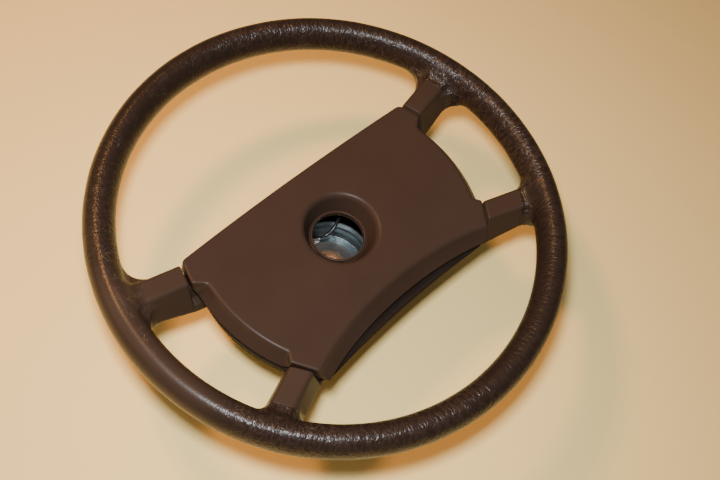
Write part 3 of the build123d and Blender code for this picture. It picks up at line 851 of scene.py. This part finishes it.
@dataclass(frozen=True)
class Grain:
    """Folds that the etched tool left in the form itself, and where hands have worn them away."""

    fold: float = 6.5
    fold_depth: float = 0.16
    fold_draw: float = 0.35
    wave: float = 21.0
    wave_depth: float = 0.25
    tube: Pair = (173.0, 178.0)
    grip: Zone = (168.0, 192.0, 16.0)
    grip_wear: float = 0.9
    crumpled: Zone = (-27.0, 14.0, 9.0)
    rippled: tuple[Zone, Zone] = ((24.0, 74.0, 16.0), (208.0, 262.0, 10.0))
    joints: tuple[Zone, Zone] = ((150.0, 178.0, 8.0), (205.0, 228.0, 8.0))
    top: Zone = (20.0, 140.0, 15.0)
    crease_patch: float = 34.0
    crease_share: Pair = (0.18, 0.4)
    crack_patch: float = 4.5
    crack_span: Pair = (-0.1, 0.5)
    inner_half: Pair = (190.0, 182.0)
    seeds: tuple[int, int, int, int] = (7, 17, 31, 41)
    crack_share: float = 0.26
    line_fade: float = 1.0
    lesser: float = 0.6
    rim: RimForm = RimForm()

    def within(self, points: Array, *zones: Zone) -> Array:
        """Largest share of some zones of the rim: 1 inside a zone, with smooth steps at its ends.

        Args:
            points: Positions in millimetres.
            zones: First angle, last angle and fade in degrees, anticlockwise from the right.

        Returns:
            One share for each point.
        """
        angle = self.rim.polar(points)[1]
        shares = []
        for first, last, fade in zones:
            turn, span = np.mod(angle - first + fade, 360.0), last - first + fade
            shares.append(ramp(0.0, fade, turn) * ramp(span + fade, span, turn))
        return np.max(shares, axis=0)

    def worn(self, points: Array) -> Array:
        """1 on the grip at the wheel's left, where the grain is rubbed away."""
        return self.within(points, self.grip)

    def creased(self, points: Array) -> Array:
        """1 between the right spokes, where the skin is crumpled, less at the top and the foot.

        Args:
            points: Positions in millimetres.

        Returns:
            One share for each point; elsewhere only patches have a little.
        """
        least, gain = self.crease_share
        noise = value_noise(points, self.crease_patch, self.seeds[0])
        patches = np.clip(least + gain * noise, 0.0, 1.0)
        rippled = self.lesser * self.within(points, *self.rippled)
        return np.maximum(np.maximum(self.within(points, self.crumpled), rippled), patches)

    def cracked(self, points: Array) -> Array:
        """Patches of cracks round the joints of the left spokes, and fainter along the top's inner half.

        Args:
            points: Positions in millimetres.

        Returns:
            One share for each point.
        """
        radius, _ = self.rim.polar(points)
        patches = ramp(*self.crack_span, value_noise(points, self.crack_patch, self.seeds[1]))
        inner = ramp(*self.inner_half, radius) * ramp(GRAIN_LINE, GRAIN_LINE + self.line_fade, radius)
        where = np.maximum(self.within(points, *self.joints), self.lesser * self.within(points, self.top))
        return self.crack_share * patches * inner * where

    def sunk(self, points: Array, normals: Array) -> Array:
        """Press the folds into a surface: noise stretched across the tube, and a longer, softer wave.

        Args:
            points: Positions in millimetres.
            normals: Unit normals.

        Returns:
            The moved points.
        """
        radius, angle = self.rim.polar(points)
        run = np.radians(angle) * self.rim.radius
        ring = columns(run, self.fold_draw * (points[..., 2] - self.rim.level), self.fold_draw * radius)
        folds = 0.5 + 0.5 * value_noise(ring, self.fold, self.seeds[2])
        folds *= 1.0 - self.grip_wear * self.worn(points)
        waves = 0.5 + 0.5 * value_noise(points, self.wave, self.seeds[3])
        depth = self.fold_depth * folds + self.wave_depth * waves
        return points - normals * (ramp(*self.tube, radius) * depth)[..., None]


def loop_normals(points: Array, close_rows: bool) -> Array:
    """Unit normals of a grid from the cross product of its central differences.

    Args:
        points: (rows, columns, 3) grid that closes round its columns.
        close_rows: Whether the rows close too.

    Returns:
        Array of unit vectors, same shape; their sign follows the grid's own order.
    """
    across = np.roll(points, -1, 1) - np.roll(points, 1, 1)
    if close_rows:
        along = np.roll(points, -1, 0) - np.roll(points, 1, 0)
    else:
        along = np.gradient(points, axis=0)
    normal = np.cross(across, along)
    return normal / (np.linalg.norm(normal, axis=-1, keepdims=True) + TINY)


# Sub-assemblies


@dataclass
class RimMoulding:
    """The rim and the four spokes of the foam moulding, which flow into each other."""

    rim: RimForm = RimForm()
    grain: Grain = Grain()
    stations: int = 1320
    section: int = 72
    swell: float = 1.9
    join: float = 172.0
    join_half: float = 1.5
    dip: float = 0.3
    halvings: int = 18
    swollen: float = -0.01
    spoke_end: float = 178.0
    spoke_columns: int = 132
    spoke_runs: Pair = (-14.0, 44.5)
    spoke_rows: tuple[int, int, int] = (10, 22, 92)
    gap_rows: Pair = (-2.0, 3.0)
    gap_skip: Pair = (-2.4, 3.6)
    spoke_margin: float = 6.0
    spoke_swell: float = 2.2
    unskew: Pair = (8.0, 30.0)
    node: str = "rim_foam"
    slot: str = "foam_skin"

    def field(self, points: Array) -> Array:
        """Distance to the skin: the rim and both spokes of a half, run together by soft_min.

        Args:
            points: Positions; those of the left half are moved to the right.

        Returns:
            The distances, negative inside.
        """
        right = np.concatenate([np.abs(points[..., :1]), points[..., 1:]], axis=-1)
        total = self.rim.field(right)
        for spoke in (UPPER, LOWER):
            total = soft_min(total, spoke.field(right), spoke.reach(right))
        return total

    def cut_field(self, points: Array) -> Array:
        """The same, closed by a round face inside the tube, so that a spoke ends under the rim's skin."""
        return np.maximum(self.field(points), self.rim.polar(points)[0] - self.spoke_end)

    def outwards(
        self, field: Callable[[Array], Array], start: Array, rays: Array, least: float, most: float
    ) -> Array:
        """Points at which rays leave a form, by halving the interval again and again.

        Args:
            field: Distance to the form, negative inside.
            start: Points inside the moulding.
            rays: Directions with the length of the base form.
            least: Share of a ray known to lie inside.
            most: Largest share to look at.

        Returns:
            The points, at the largest share where the ray is still inside there.
        """
        low, high = np.full(rays.shape[:-1], least), np.full(rays.shape[:-1], most)
        for _ in range(self.halvings):
            middle = 0.5 * (low + high)
            inside = field(start + rays * middle[..., None]) < 0
            low, high = np.where(inside, middle, low), np.where(inside, high, middle)
        return start + rays * (0.5 * (low + high))[..., None]

    def make_rim(self) -> Object:
        """Oval ring by two angles, drawn out to the shared skin where the spokes join it.

        Returns:
            The new object.
        """
        turn, lap = circle(self.stations)[:, None], circle(self.section)[None, :]
        radial, axial = self.rim.radial * np.cos(lap), self.rim.axial * np.sin(lap)
        rays = columns(radial * np.cos(turn), radial * np.sin(turn), axial)
        plan = around(self.rim.radius, turn)
        middle = columns(plan[..., 0], plan[..., 1] + self.rim.rise, self.rim.level)
        centre = np.broadcast_to(middle, rays.shape)
        points = centre + rays
        near = self.field(points) < self.swollen
        points[near] = self.outwards(self.field, centre[near], rays[near], 1.0, self.swell)
        return self.dress("rim", points, True)

    def make_spoke(self, name: str, form: SpokeForm, side: int) -> Object:
        """Spoke by run and angle: rays from its middle line out to the shared skin.

        Args:
            name: Name of the piece.
            form: Its shape on the right half.
            side: 1 for the right half, -1 for the left.

        Returns:
            The new object.
        """
        along, left = form.axes()
        first, last = self.spoke_runs
        gap = form.gap_run
        inner, outer = (gap + skip for skip in self.gap_skip)
        stretches = ((first, inner), (gap + self.gap_rows[0], gap + self.gap_rows[1]), (outer, last))
        rows = [np.linspace(*stretch, count) for stretch, count in zip(stretches, self.spoke_rows)]
        runs = np.concatenate(rows)[:, None]
        lap = circle(self.spoke_columns)[None, :]
        skew = form.gap_skew * (1.0 - ramp(*self.unskew, runs))
        top = form.top(runs) - np.where(runs < gap, form.lip_drop, 0.0)
        low = form.bottom(runs)
        start = columns(form.root[0] + runs * along[0], form.root[1] + runs * along[1], 0.5 * (low + top))
        sideways = np.cos(lap) * (form.width / 2 + self.spoke_margin)
        plan = sideways[..., None] * (left + skew[..., None] * along)
        rays = columns(plan[..., 0], plan[..., 1], np.sin(lap) * 0.5 * (top - low))
        points = self.outwards(self.cut_field, start, rays, 0.0, self.spoke_swell)
        points[..., 0] *= side
        return self.dress(name, points, False)

    def dress(self, name: str, points: Array, close_rows: bool) -> Object:
        """Press the grain in, make the mesh and give it the masks that its finish reads.

        The rim and the spokes follow one skin, so each dips under the other past the line where they join.

        Args:
            name: Name of the piece.
            points: Grid on the skin.
            close_rows: True for the rim, whose rows close.

        Returns:
            The new object.
        """
        normals = loop_normals(points, close_rows)
        centre = points.mean(axis=1, keepdims=True)
        normals *= np.sign((normals * (points - centre)).sum(-1, keepdims=True) + TINY)
        radius = self.rim.polar(points)[0]
        on_tube = ramp(self.join - self.join_half, self.join + self.join_half, radius)
        dip = self.dip * (1.0 - on_tube if close_rows else on_tube)
        sunk = self.grain.sunk(points, normals) - normals * dip[..., None]
        piece = grid_piece(name, sunk, Body.WHEEL, close_rows)
        for mask in (self.grain.worn, self.grain.creased, self.grain.cracked):
            paint(piece, mask.__name__, mask(points))
        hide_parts(self.node)
        return piece

    def build(self) -> None:
        """Make the rim and the four spokes and give them their finish."""
        pieces = [self.make_rim()]
        for label, form in (("upper", UPPER), ("lower", LOWER)):
            for side, hand in ((1, "right"), (-1, "left")):
                pieces.append(self.make_spoke(f"spoke_{label}_{hand}", form, side))
        skin = RIM_SKIN.make()
        for piece in pieces:
            piece.data.materials.append(skin)


@dataclass(frozen=True)
class Outline:
    """Closed plan of the pad or the tray: corner points of the right half, one arc and two bows."""

    right: Array
    arc_index: int
    top_mid: float
    foot_mid: float
    counts: tuple[int, ...]

    def loop(self) -> Array:
        """Points round the plan, a fixed count on each stretch so that two plans match corner for corner.

        Returns:
            Array (n, 2), clockwise from the middle of the top.
        """
        parts = [self.bow(self.top_mid, self.right[0], self.counts[0])]
        for index, ends in enumerate(zip(self.right[:-1], self.right[1:])):
            share = np.linspace(0, 1, self.counts[index + 1], endpoint=False)
            parts.append(self.arc(*ends, share) if index == self.arc_index else mix(*ends, share[:, None]))
        parts.append(self.right[-1:])
        parts.append(self.bow(self.foot_mid, self.right[-1], self.counts[-1])[::-1])
        half = np.concatenate(parts)
        return np.concatenate([half, (half * [-1, 1])[::-1][1:-1]])

    def inset(self, depth: float) -> "Outline":
        """The same plan drawn in: each corner moves along the mitre of the normals of its two sides.

        Args:
            depth: Distance between the two plans.

        Returns:
            The smaller plan, with the same counts.
        """
        pts, arc = self.right, self.arc_index
        along = np.diff(pts, axis=0)
        sides = columns(-along[:, 1], along[:, 0]) / np.linalg.norm(along, axis=1, keepdims=True)
        before = np.concatenate([self.bow_normal(self.top_mid, pts[0], 1)[None], sides])
        after = np.concatenate([sides, self.bow_normal(self.foot_mid, pts[-1], -1)[None]])
        after[arc] = pts[arc] / np.linalg.norm(pts[arc])
        before[arc + 1] = pts[arc + 1] / np.linalg.norm(pts[arc + 1])
        mitre = (before + after) / (1.0 + (before * after).sum(axis=1, keepdims=True))
        return Outline(pts - depth * mitre, arc, self.top_mid - depth, self.foot_mid + depth, self.counts)

    @staticmethod
    def bow_radius(middle: float, end: Array) -> float:
        """Radius of a bow, less than zero where it hangs: half chord and sag squared over twice the sag."""
        sag = middle - end[1]
        return (end[0] ** 2 + sag**2) / (2 * sag)

    @classmethod
    def bow_normal(cls, middle: float, end: Array, facing: int) -> Array:
        """Outward normal at the end of a bow whose middle is on x = 0; facing is 1 for the top, -1 below."""
        radius = cls.bow_radius(middle, end)
        return facing * (end - np.array([0.0, middle - radius])) / radius

    @classmethod
    def bow(cls, middle: float, end: Array, count: int) -> Array:
        """Half of a circle's bow from its middle on x = 0 up to, but without, one end.

        Args:
            middle: Height of the middle.
            end: The end on the right.
            count: Points on the half.

        Returns:
            Array (count, 2).
        """
        radius = cls.bow_radius(middle, end)
        x = np.linspace(0, end[0], count, endpoint=False)
        return columns(x, middle - radius + np.sign(radius) * np.sqrt(radius**2 - x**2))

    @staticmethod
    def arc(first: Array, last: Array, share: Array) -> Array:
        """Arc round the hub axis whose radius runs evenly from one end's to the other's."""
        turn = mix(np.arctan2(first[1], first[0]), np.arctan2(last[1], last[0]), share)
        return around(mix(np.hypot(*first), np.hypot(*last), share), turn)


@dataclass
class HornPad:
    """Padded plate: dished face, leaning skirts, and the round recess with its lip and open hole."""

    dish: Dish = Dish()
    skirt: float = 13.0
    wall: float = 3.0
    ridge: float = 2.5
    ridge_fall: float = 2.0
    scoop: float = 0.9
    side: float = 120.5
    side_step: float = 3.0
    side_span: Pair = (13.0, -26.6)
    side_lean: float = 0.70
    corners: tuple[tuple[float, float, float, float], ...] = (
        (121.0, 55.0, 0.0, 0.15),
        (123.8, 52.5, 0.03, 0.15),
        (128.8, 34.5, 0.03, 0.0),
        (112.1, -61.2, 0.0246, -0.0171),
        (100.9, -77.3, -0.325, -0.73),
    )
    middles: tuple[Pair, Pair] = ((60.0, 0.15), (-50.4, -1.0))
    step: Triple = (119.0, 28.0, 9.0)
    blurs: Pair = (1.4, 3.6)
    face_steps: tuple[Steps, Steps] = ((0.03, 0.9, 22), (0.93, 1.0, 4))
    ridge_steps: Steps = (0.14, 1.0, 7)
    skirt_steps: Steps = (0.8, 0.7, 10)
    hem: tuple[Pair, Pair] = ((0.15, 0.25), (0.7, 0.0))
    inside_steps: Steps = (0.15, 1.0, 8)
    recess_steps: int = 8
    settle: int = 6
    counts: tuple[int, ...] = (130, 5, 24, 17, 104, 14, 25, 120)
    mouth_radius: float = 33.5
    level: float = 125.3
    lean_run: float = 26.0
    cup_flat: Pair = (101.0, 110.0)
    cup: Profile = ((35.5, 108.0, 0), (29.5, 92.5, 1.0), (22.4, 92.5, 0.4), (22.4, 93.5, 0))
    recess: Profile = (
        (22.4, 94.0, 0), (22.4, 98.2, 0.8), (24.2, 98.2, 0.8), (24.2, 95.8, 0.3), (25.4, 95.4, 1.2),
        (31.6, 113.0, 5.5), (40.0, 113.0, 0),
    )
    slot: str = "pad_skin"

    def plan(self, drop: float, depth: float) -> Array:
        """Plan of the pad, its corners rounded by blurring, more at the step beside the wings.

        A corner's row gives its place and how far it moves for each millimetre of drop, and so does a
        middle's; the sides lean out along their radius.

        Args:
            drop: Distance below the level of the wings; every corner moves out with it.
            depth: Distance that the plan is drawn in.

        Returns:
            Points round the plan.
        """
        table = np.array(self.corners)
        wings = table[:, :2] + table[:, 2:] * drop
        side = self.side + self.side_lean * drop
        first, last = np.radians(self.side_span)
        sides = around(np.array([side, side - self.side_step]), np.array([first, last]))
        right = np.concatenate([wings[:3], sides, wings[3:]])
        middles = (level + lean * drop for level, lean in self.middles)
        loop = Outline(right, 3, *middles, self.counts).inset(depth).loop()
        x, y, reach = self.step
        away = ((np.abs(loop[:, 0]) - x) / reach) ** 2 + ((loop[:, 1] - y) / reach) ** 2
        crisp, soft = (blur_loop(loop, blur) for blur in self.blurs)
        return mix(crisp, soft, np.exp(-away)[:, None])

    def ring(self, depth: float, drop: Array) -> Array:
        """Plan drawn in by a depth, each point at its own drop along the straight lean of the skirt."""
        upper, lower = self.plan(0.0, depth), self.plan(self.lean_run, depth)
        return upper + (lower - upper) * (drop / self.lean_run)[:, None]

    def rows(self) -> Array:
        """Rows of the closed skin: face, ridge, skirt, inside, cup, hole, lip and recess in turn.

        Returns:
            (rows, columns, 3) points.
        """
        drop = np.zeros(len(self.plan(0.0, 0.0)))
        for _ in range(self.settle):
            height = self.dish.height(self.ring(0.0, drop)[:, 0])
            drop = self.level - height
        ridge, inward = self.ring(0.0, drop), self.ring(self.ridge, drop)
        spoke = around(1.0, np.arctan2(ridge[:, 1], ridge[:, 0]))
        mouth = rounded_profile(self.recess, self.recess_steps)
        rows = []
        for share in np.concatenate([np.linspace(*steps) for steps in self.face_steps]):
            rows.append(self.dish.under(mix(spoke * mouth[-1, 0], inward, share)))
        fall = self.ridge_fall
        first, corner = rows[-1], lift(ridge, height)
        down = lift(self.ring(0.0, drop + fall), height - fall)
        rows += [bend(first, corner, down, share) for share in np.linspace(*self.ridge_steps)]
        above, under, count = self.skirt_steps
        for below in np.linspace(fall + above, self.skirt - under, count):
            hollow = self.scoop * np.sin(np.pi * below / self.skirt)
            rows.append(lift(self.ring(0.0, drop + below - hollow), height - below))
        for depth, above in (*self.hem, (self.wall, 0.0)):
            rows.append(lift(self.ring(depth, drop + self.skirt), height - self.skirt + above))
        ceiling = self.ring(self.wall, drop + self.wall)
        for share in (0.0, *np.linspace(*self.inside_steps)):
            plan = mix(ceiling, spoke * (self.mouth_radius + self.wall), share)
            rows.append(self.dish.under(plan, self.wall))
        for radius, level in np.concatenate([rounded_profile(self.cup), mouth]):
            plan = spoke * radius
            hang = self.dish.height(plan[:, 0]) - self.dish.low
            rows.append(lift(plan, level + hang * ramp(*self.cup_flat, level)))
        return np.stack(rows)

    def build(self) -> None:
        """Make the pad and give it its finish."""
        pad = grid_piece("horn_pad_skin", self.rows(), Body.PAD)
        pad.data.materials.append(PAD_SKIN.make())
        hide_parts("pad_cover")


@dataclass
class Tray:
    """Open box of the moulding behind the pad, with its lip and the opening round the pot."""

    dish: Dish = Dish()
    floor: float = 90.0
    base: float = 80.0
    base_edge: float = 4.0
    lip_drop: float = 17.6
    lip: tuple[Pair, ...] = ((0.3, 0.2), (0.9, 0.0), (7.8, 0.0), (8.8, 1.0))
    side_radius: float = 129.4
    side_span: Pair = (22.0, -33.0)
    corners: tuple[Pair, Pair] = ((116.0, 58.2), (95.4, -88.8))
    middles: Pair = (64.2, -83.4)
    blur: float = 5.0
    wall: Pair = (9.2, 9.6)
    lip_edge: float = 0.8
    rim_edge: float = 1.0
    floor_edge: float = 0.6
    wide_steps: Steps = (0.1, 1.0, 10)
    short_steps: Steps = (0.2, 1.0, 5)
    counts: tuple[int, ...] = (110, 14, 120, 16, 100)
    opening: Pair = (158.0, 103.0)
    opening_power: int = 8
    slot: str = "foam_skin"

    def plan(self, inset: float) -> Array:
        """Plan of the wall, its corners rounded by blurring.

        Args:
            inset: Distance that the plan is drawn in.

        Returns:
            Points round the plan.
        """
        sides = (around(self.side_radius, np.radians(angle)) for angle in self.side_span)
        right = np.array([self.corners[0], *sides, self.corners[1]])
        return blur_loop(Outline(right, 1, *self.middles, self.counts).inset(inset).loop(), self.blur)

    def window(self, grow: float, angle: Array) -> Array:
        """Rounded rectangle along given directions: the oval of a high power nearest to it.

        Args:
            grow: Distance that it is drawn out.
            angle: Directions in radians.

        Returns:
            One point for each direction.
        """
        power = self.opening_power
        reach = np.abs(around(1.0, angle)) / (np.array(self.opening) / 2 + grow)
        return around((reach**power).sum(axis=1) ** (-1 / power), angle)

    def build(self) -> None:
        """Make the tray as one closed ring of rows: base, wall, lip, inside and floor."""
        outer, edge = self.plan(0.0), self.base_edge
        angle = np.arctan2(outer[:, 1], outer[:, 0])
        lip = self.dish.height(outer[:, 0]) - self.lip_drop
        hole, mouth = self.window(0.0, angle), self.window(self.rim_edge, angle)
        rows = [lift(hole, self.base + self.rim_edge), lift(mouth, self.base)]
        for share in np.linspace(*self.wide_steps):
            rows.append(lift(mix(mouth, self.plan(2 * edge), share), self.base))
        for turn in np.linspace(*self.short_steps) * np.pi / 2:
            plan = self.plan(2 * edge - edge * np.sin(turn))
            rows.append(lift(plan, self.base + edge * (1 - np.cos(turn))))
        for share in np.linspace(*self.wide_steps):
            height = mix(self.base + edge, lip - self.lip_edge, share)
            rows.append(lift(mix(self.plan(edge), outer, share), height))
        for inset, below in self.lip:
            rows.append(self.dish.under(self.plan(inset), self.lip_drop + below))
        rows.append(lift(self.plan(self.wall[0]), self.floor + self.rim_edge))
        inside = self.window(self.floor_edge, angle)
        for share in np.linspace(*self.short_steps):
            rows.append(lift(mix(self.plan(self.wall[1]), inside, share), self.floor))
        rows.append(lift(hole, self.floor - self.floor_edge))
        tray = grid_piece("tray", np.stack(rows), Body.WHEEL)
        # Its near-black colour is painted shade under the pad's skirts
        tray.data.materials.append(TRAY_SKIN.make())
        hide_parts("rim_foam")


@dataclass
class HornLead:
    """Black lead that loops up the pot from its terminal to the contact ring, with a sleeve and a crimp."""

    width: float = 2.4
    length: float = 91.0
    sleeve_width: float = 3.3
    sleeve: Pair = (0.36, 0.80)
    crimp_width: float = 3.0
    crimp: Pair = (0.0, 0.09)
    round_steps: int = 4
    run_steps: int = 12
    route: tuple[Triple, ...] = (
        (11.43, 28.28, 31.2),
        (2.0, 31.5, 41.0),
        (0.5, 24.5, 55.0),
        (6.0, 16.8, 61.0),
        (17.0, 16.8, 63.0),
        (25.0, 20.5, 70.0),
        (31.0, 18.5, 81.0),
        (32.4, 17.9, 92.5),
        (40.9, 13.3, 91.9),
    )

    def curve(self, name: str, width: float) -> Object:
        """Spline that the route's points pull into shape; its points' radius makes it as thick as asked.

        Args:
            name: Name of the piece.
            width: Diameter, or 0 for a bare line.

        Returns:
            The new object.
        """
        data = bpy.data.curves.new(name, "CURVE")
        data.dimensions = "3D"
        data.bevel_depth = 1.0 if width else 0.0
        data.bevel_resolution = self.round_steps
        data.resolution_u = self.run_steps
        data.use_fill_caps = True
        spline = data.splines.new("NURBS")
        count = len(self.route)
        spline.points.add(count - 1)
        weighted = np.column_stack([np.array(self.route) * MM, np.ones(count)])
        spline.points.foreach_set("co", weighted.ravel())
        spline.points.foreach_set("radius", np.full(count, 0.5 * width * MM))
        spline.order_u = 3
        spline.use_endpoint_u = True
        return put(name, data)

    def line(self) -> Array:
        """Points along the spline in millimetres, from a curve with no thickness that is then removed.

        Returns:
            Array (n, 3).
        """
        bare = self.curve("lead_line", 0.0)
        mesh = bpy.data.meshes.new_from_object(bare)
        flat = np.empty(3 * len(mesh.vertices))
        mesh.vertices.foreach_get("co", flat)
        bpy.data.meshes.remove(mesh)
        bpy.data.curves.remove(bare.data)
        return flat.reshape(-1, 3) / MM

    def over(self, name: str, line: Array, span: Pair, width: float) -> Object:
        """Tube over a part of the lead, from one share of its points to another."""
        first, last = (int(share * (len(line) - 1)) for share in span)
        return grid_piece(name, tube(line[first : last + 1], width), Body.WHEEL, close_rows=False)

    def build(self) -> None:
        lead = self.curve("horn_lead_cord", self.width)
        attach(lead, Body.WHEEL.value)
        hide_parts("horn_lead")
        line = self.line()
        sleeve = self.over("lead_sleeve", line, self.sleeve, self.sleeve_width)
        crimp = self.over("lead_crimp", line, self.crimp, self.crimp_width)
        sheath = VINYL.make()
        for piece, slot, finish in (
            (lead, "cable", sheath),
            (sleeve, "black_plastic", sheath),
            (crimp, "brass_plated", TINNED_GLINT.make()),
        ):
            piece.data.materials.append(finish)
        LOG.info("%s: %.0f mm of cable", lead.name, self.length)


@dataclass
class HornSprings:
    """Four coil springs round the pad's guide posts, between the wheel and the pad."""

    post: Pair = (68.0, 34.0)
    radius: float = 4.8
    wire: float = 1.1
    wire_columns: int = 12
    turns: int = 4
    steps: int = 40
    node: str = "horn_springs"
    slot: str = "spring_steel"

    def build(self) -> None:
        """Wind each spring into the height of its CAD node."""
        low, high = (corner[2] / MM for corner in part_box(self.node))
        share = np.linspace(0.0, 1.0, self.turns * self.steps + 1)
        rise = low + 0.5 * self.wire + (high - low - self.wire) * share
        coil = lift(around(self.radius, 2 * np.pi * self.turns * share), rise)
        steel = SPRING_STEEL.make()
        for label, up in (("upper", 1), ("lower", -1)):
            for hand, side in (("right", 1), ("left", -1)):
                x, y = side * self.post[0], up * self.post[1]
                rows = tube(coil + np.array([x, y, 0.0]), self.wire, self.wire_columns)
                spring = grid_piece(f"horn_spring_{label}_{hand}", rows, None, close_rows=False)
                spring.data.materials.append(steel)
                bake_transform(spring)
                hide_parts(self.node)


@dataclass
class HubGear:
    """What shows through the hole and from behind: pot, hub, rings, carrier and the horn's works."""

    def build(self) -> None:
        """Give each CAD node that is kept its finish."""
        finishes = {
            ZINC: ("impact_pot",),
            COPPERED: ("hub",),
            RING_STEEL: ("hub_clamp_ring", "pot_rivets", "guide_posts"),
            TINNED_GLINT: ("lead_terminal",),
            BLACK_STEEL: ("spider", "rim_core", "pad_plate"),
            PHENOLIC: ("slip_carrier", "contact_insulator"),
            BRASS: ("slip_ring", "contact_ring", "pad_contacts"),
            BUFF_FOAM: ("pad_filler",),
            NYLON: ("guide_bushes",),
        }
        for finish, nodes in finishes.items():
            material = finish.make()
            for node in nodes:
                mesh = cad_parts[node].data
                mesh.materials.clear()
                mesh.materials.append(material)
                LOG.info("%s: %s", node, material.name)


@dataclass(frozen=True)
class Lamp:
    """Square area light; its place is given in metres up from the camera and to the right of it."""

    name: str
    up: float
    right: float
    size: float
    watts: float
    colour: str

    def build(self, place: Array, target: Array) -> None:
        """Put the light at a place and turn it to a target.

        Args:
            place: Where it stands, in metres.
            target: What it looks at.
        """
        data = bpy.data.lights.new(self.name, "AREA")
        data.size = self.size
        data.energy = self.watts
        data.color = linear(self.colour)[:3]
        back = (place - target) / np.linalg.norm(place - target)
        side = np.cross([0.0, 1.0, 0.0], back)
        side /= np.linalg.norm(side)
        stand(put(self.name, data), side, np.cross(back, side), back, place)


@dataclass
class Studio:
    """Pale floor, soft light and the camera of the photograph.

    The camera's place and its three axes come first, then its lens and sensor in millimetres. All other
    lengths are metres.
    """

    place: Triple = (-0.2556, -0.15284, 0.67194)
    right: Triple = (0.71177, -0.68209, 0.16774)
    up: Triple = (0.56848, 0.69965, 0.43279)
    back: Triple = (-0.41256, -0.21269, 0.88575)
    lens: float = 37.5
    sensor: float = 36.0
    target: Triple = (0.0, 0.0, 0.1)
    lamps: tuple[Lamp, ...] = (
        Lamp("front_light", 0.075, -0.015, 0.06, 8.0, "F8FAFF"),
        Lamp("warm_lamp", 0.60, -0.30, 0.12, 7.0, "FFB468"),
        Lamp("side_light", 0.3, -1.0, 0.9, 4.0, "FFCB90"),
    )
    sky: str = "FFF1D6"
    sky_strength: float = 0.16
    paper: str = "F1D48A"
    paper_roughness: float = 0.9
    floor_reach: float = 0.8
    floor_level: float = -0.0004

    def camera(self) -> None:
        """Camera from its three axes; its focal length is 750/720 of the picture's width."""
        data = bpy.data.cameras.new("camera")
        data.sensor_width = self.sensor
        data.lens = self.lens
        camera = put("camera", data)
        stand(camera, self.right, self.up, self.back, self.place)
        bpy.context.scene.camera = camera

    def floor(self) -> None:
        """Square sheet of pale paper just under the hub."""
        mesh = bpy.data.meshes.new("floor")
        signs = ((-1, -1), (1, -1), (1, 1), (-1, 1))
        reach = self.floor_reach
        mesh.from_pydata([(x * reach, y * reach, self.floor_level) for x, y in signs], [], [(0, 1, 2, 3)])
        floor = put("floor", mesh)
        material, tree, shader = blank("pale_paper")
        feed(tree, shader, {"Base Color": linear(self.paper), "Roughness": self.paper_roughness})
        mesh.materials.append(material)

    def build(self) -> None:
        """Floor, lights and camera."""
        self.camera()
        eye, up, side = np.array(self.place), np.array(self.up), np.array(self.right)
        for lamp in self.lamps:
            lamp.build(eye + lamp.up * up + lamp.right * side, np.array(self.target))
        world = bpy.data.worlds.new("studio")
        world.use_nodes = True
        sky = {"Color": linear(self.sky), "Strength": self.sky_strength}
        feed(world.node_tree, world.node_tree.nodes["Background"], sky)
        bpy.context.scene.world = world
        self.floor()


def main() -> None:
    """Build the sub-assemblies in order and note the sizes."""
    logging.basicConfig(level=logging.INFO, format="%(message)s")
    Studio().build()
    HornLead().build()
    RimMoulding().build()
    Tray().build()
    HornPad().build()
    HornSprings().build()
    HubGear().build()


if __name__ == "__main__":
    main()
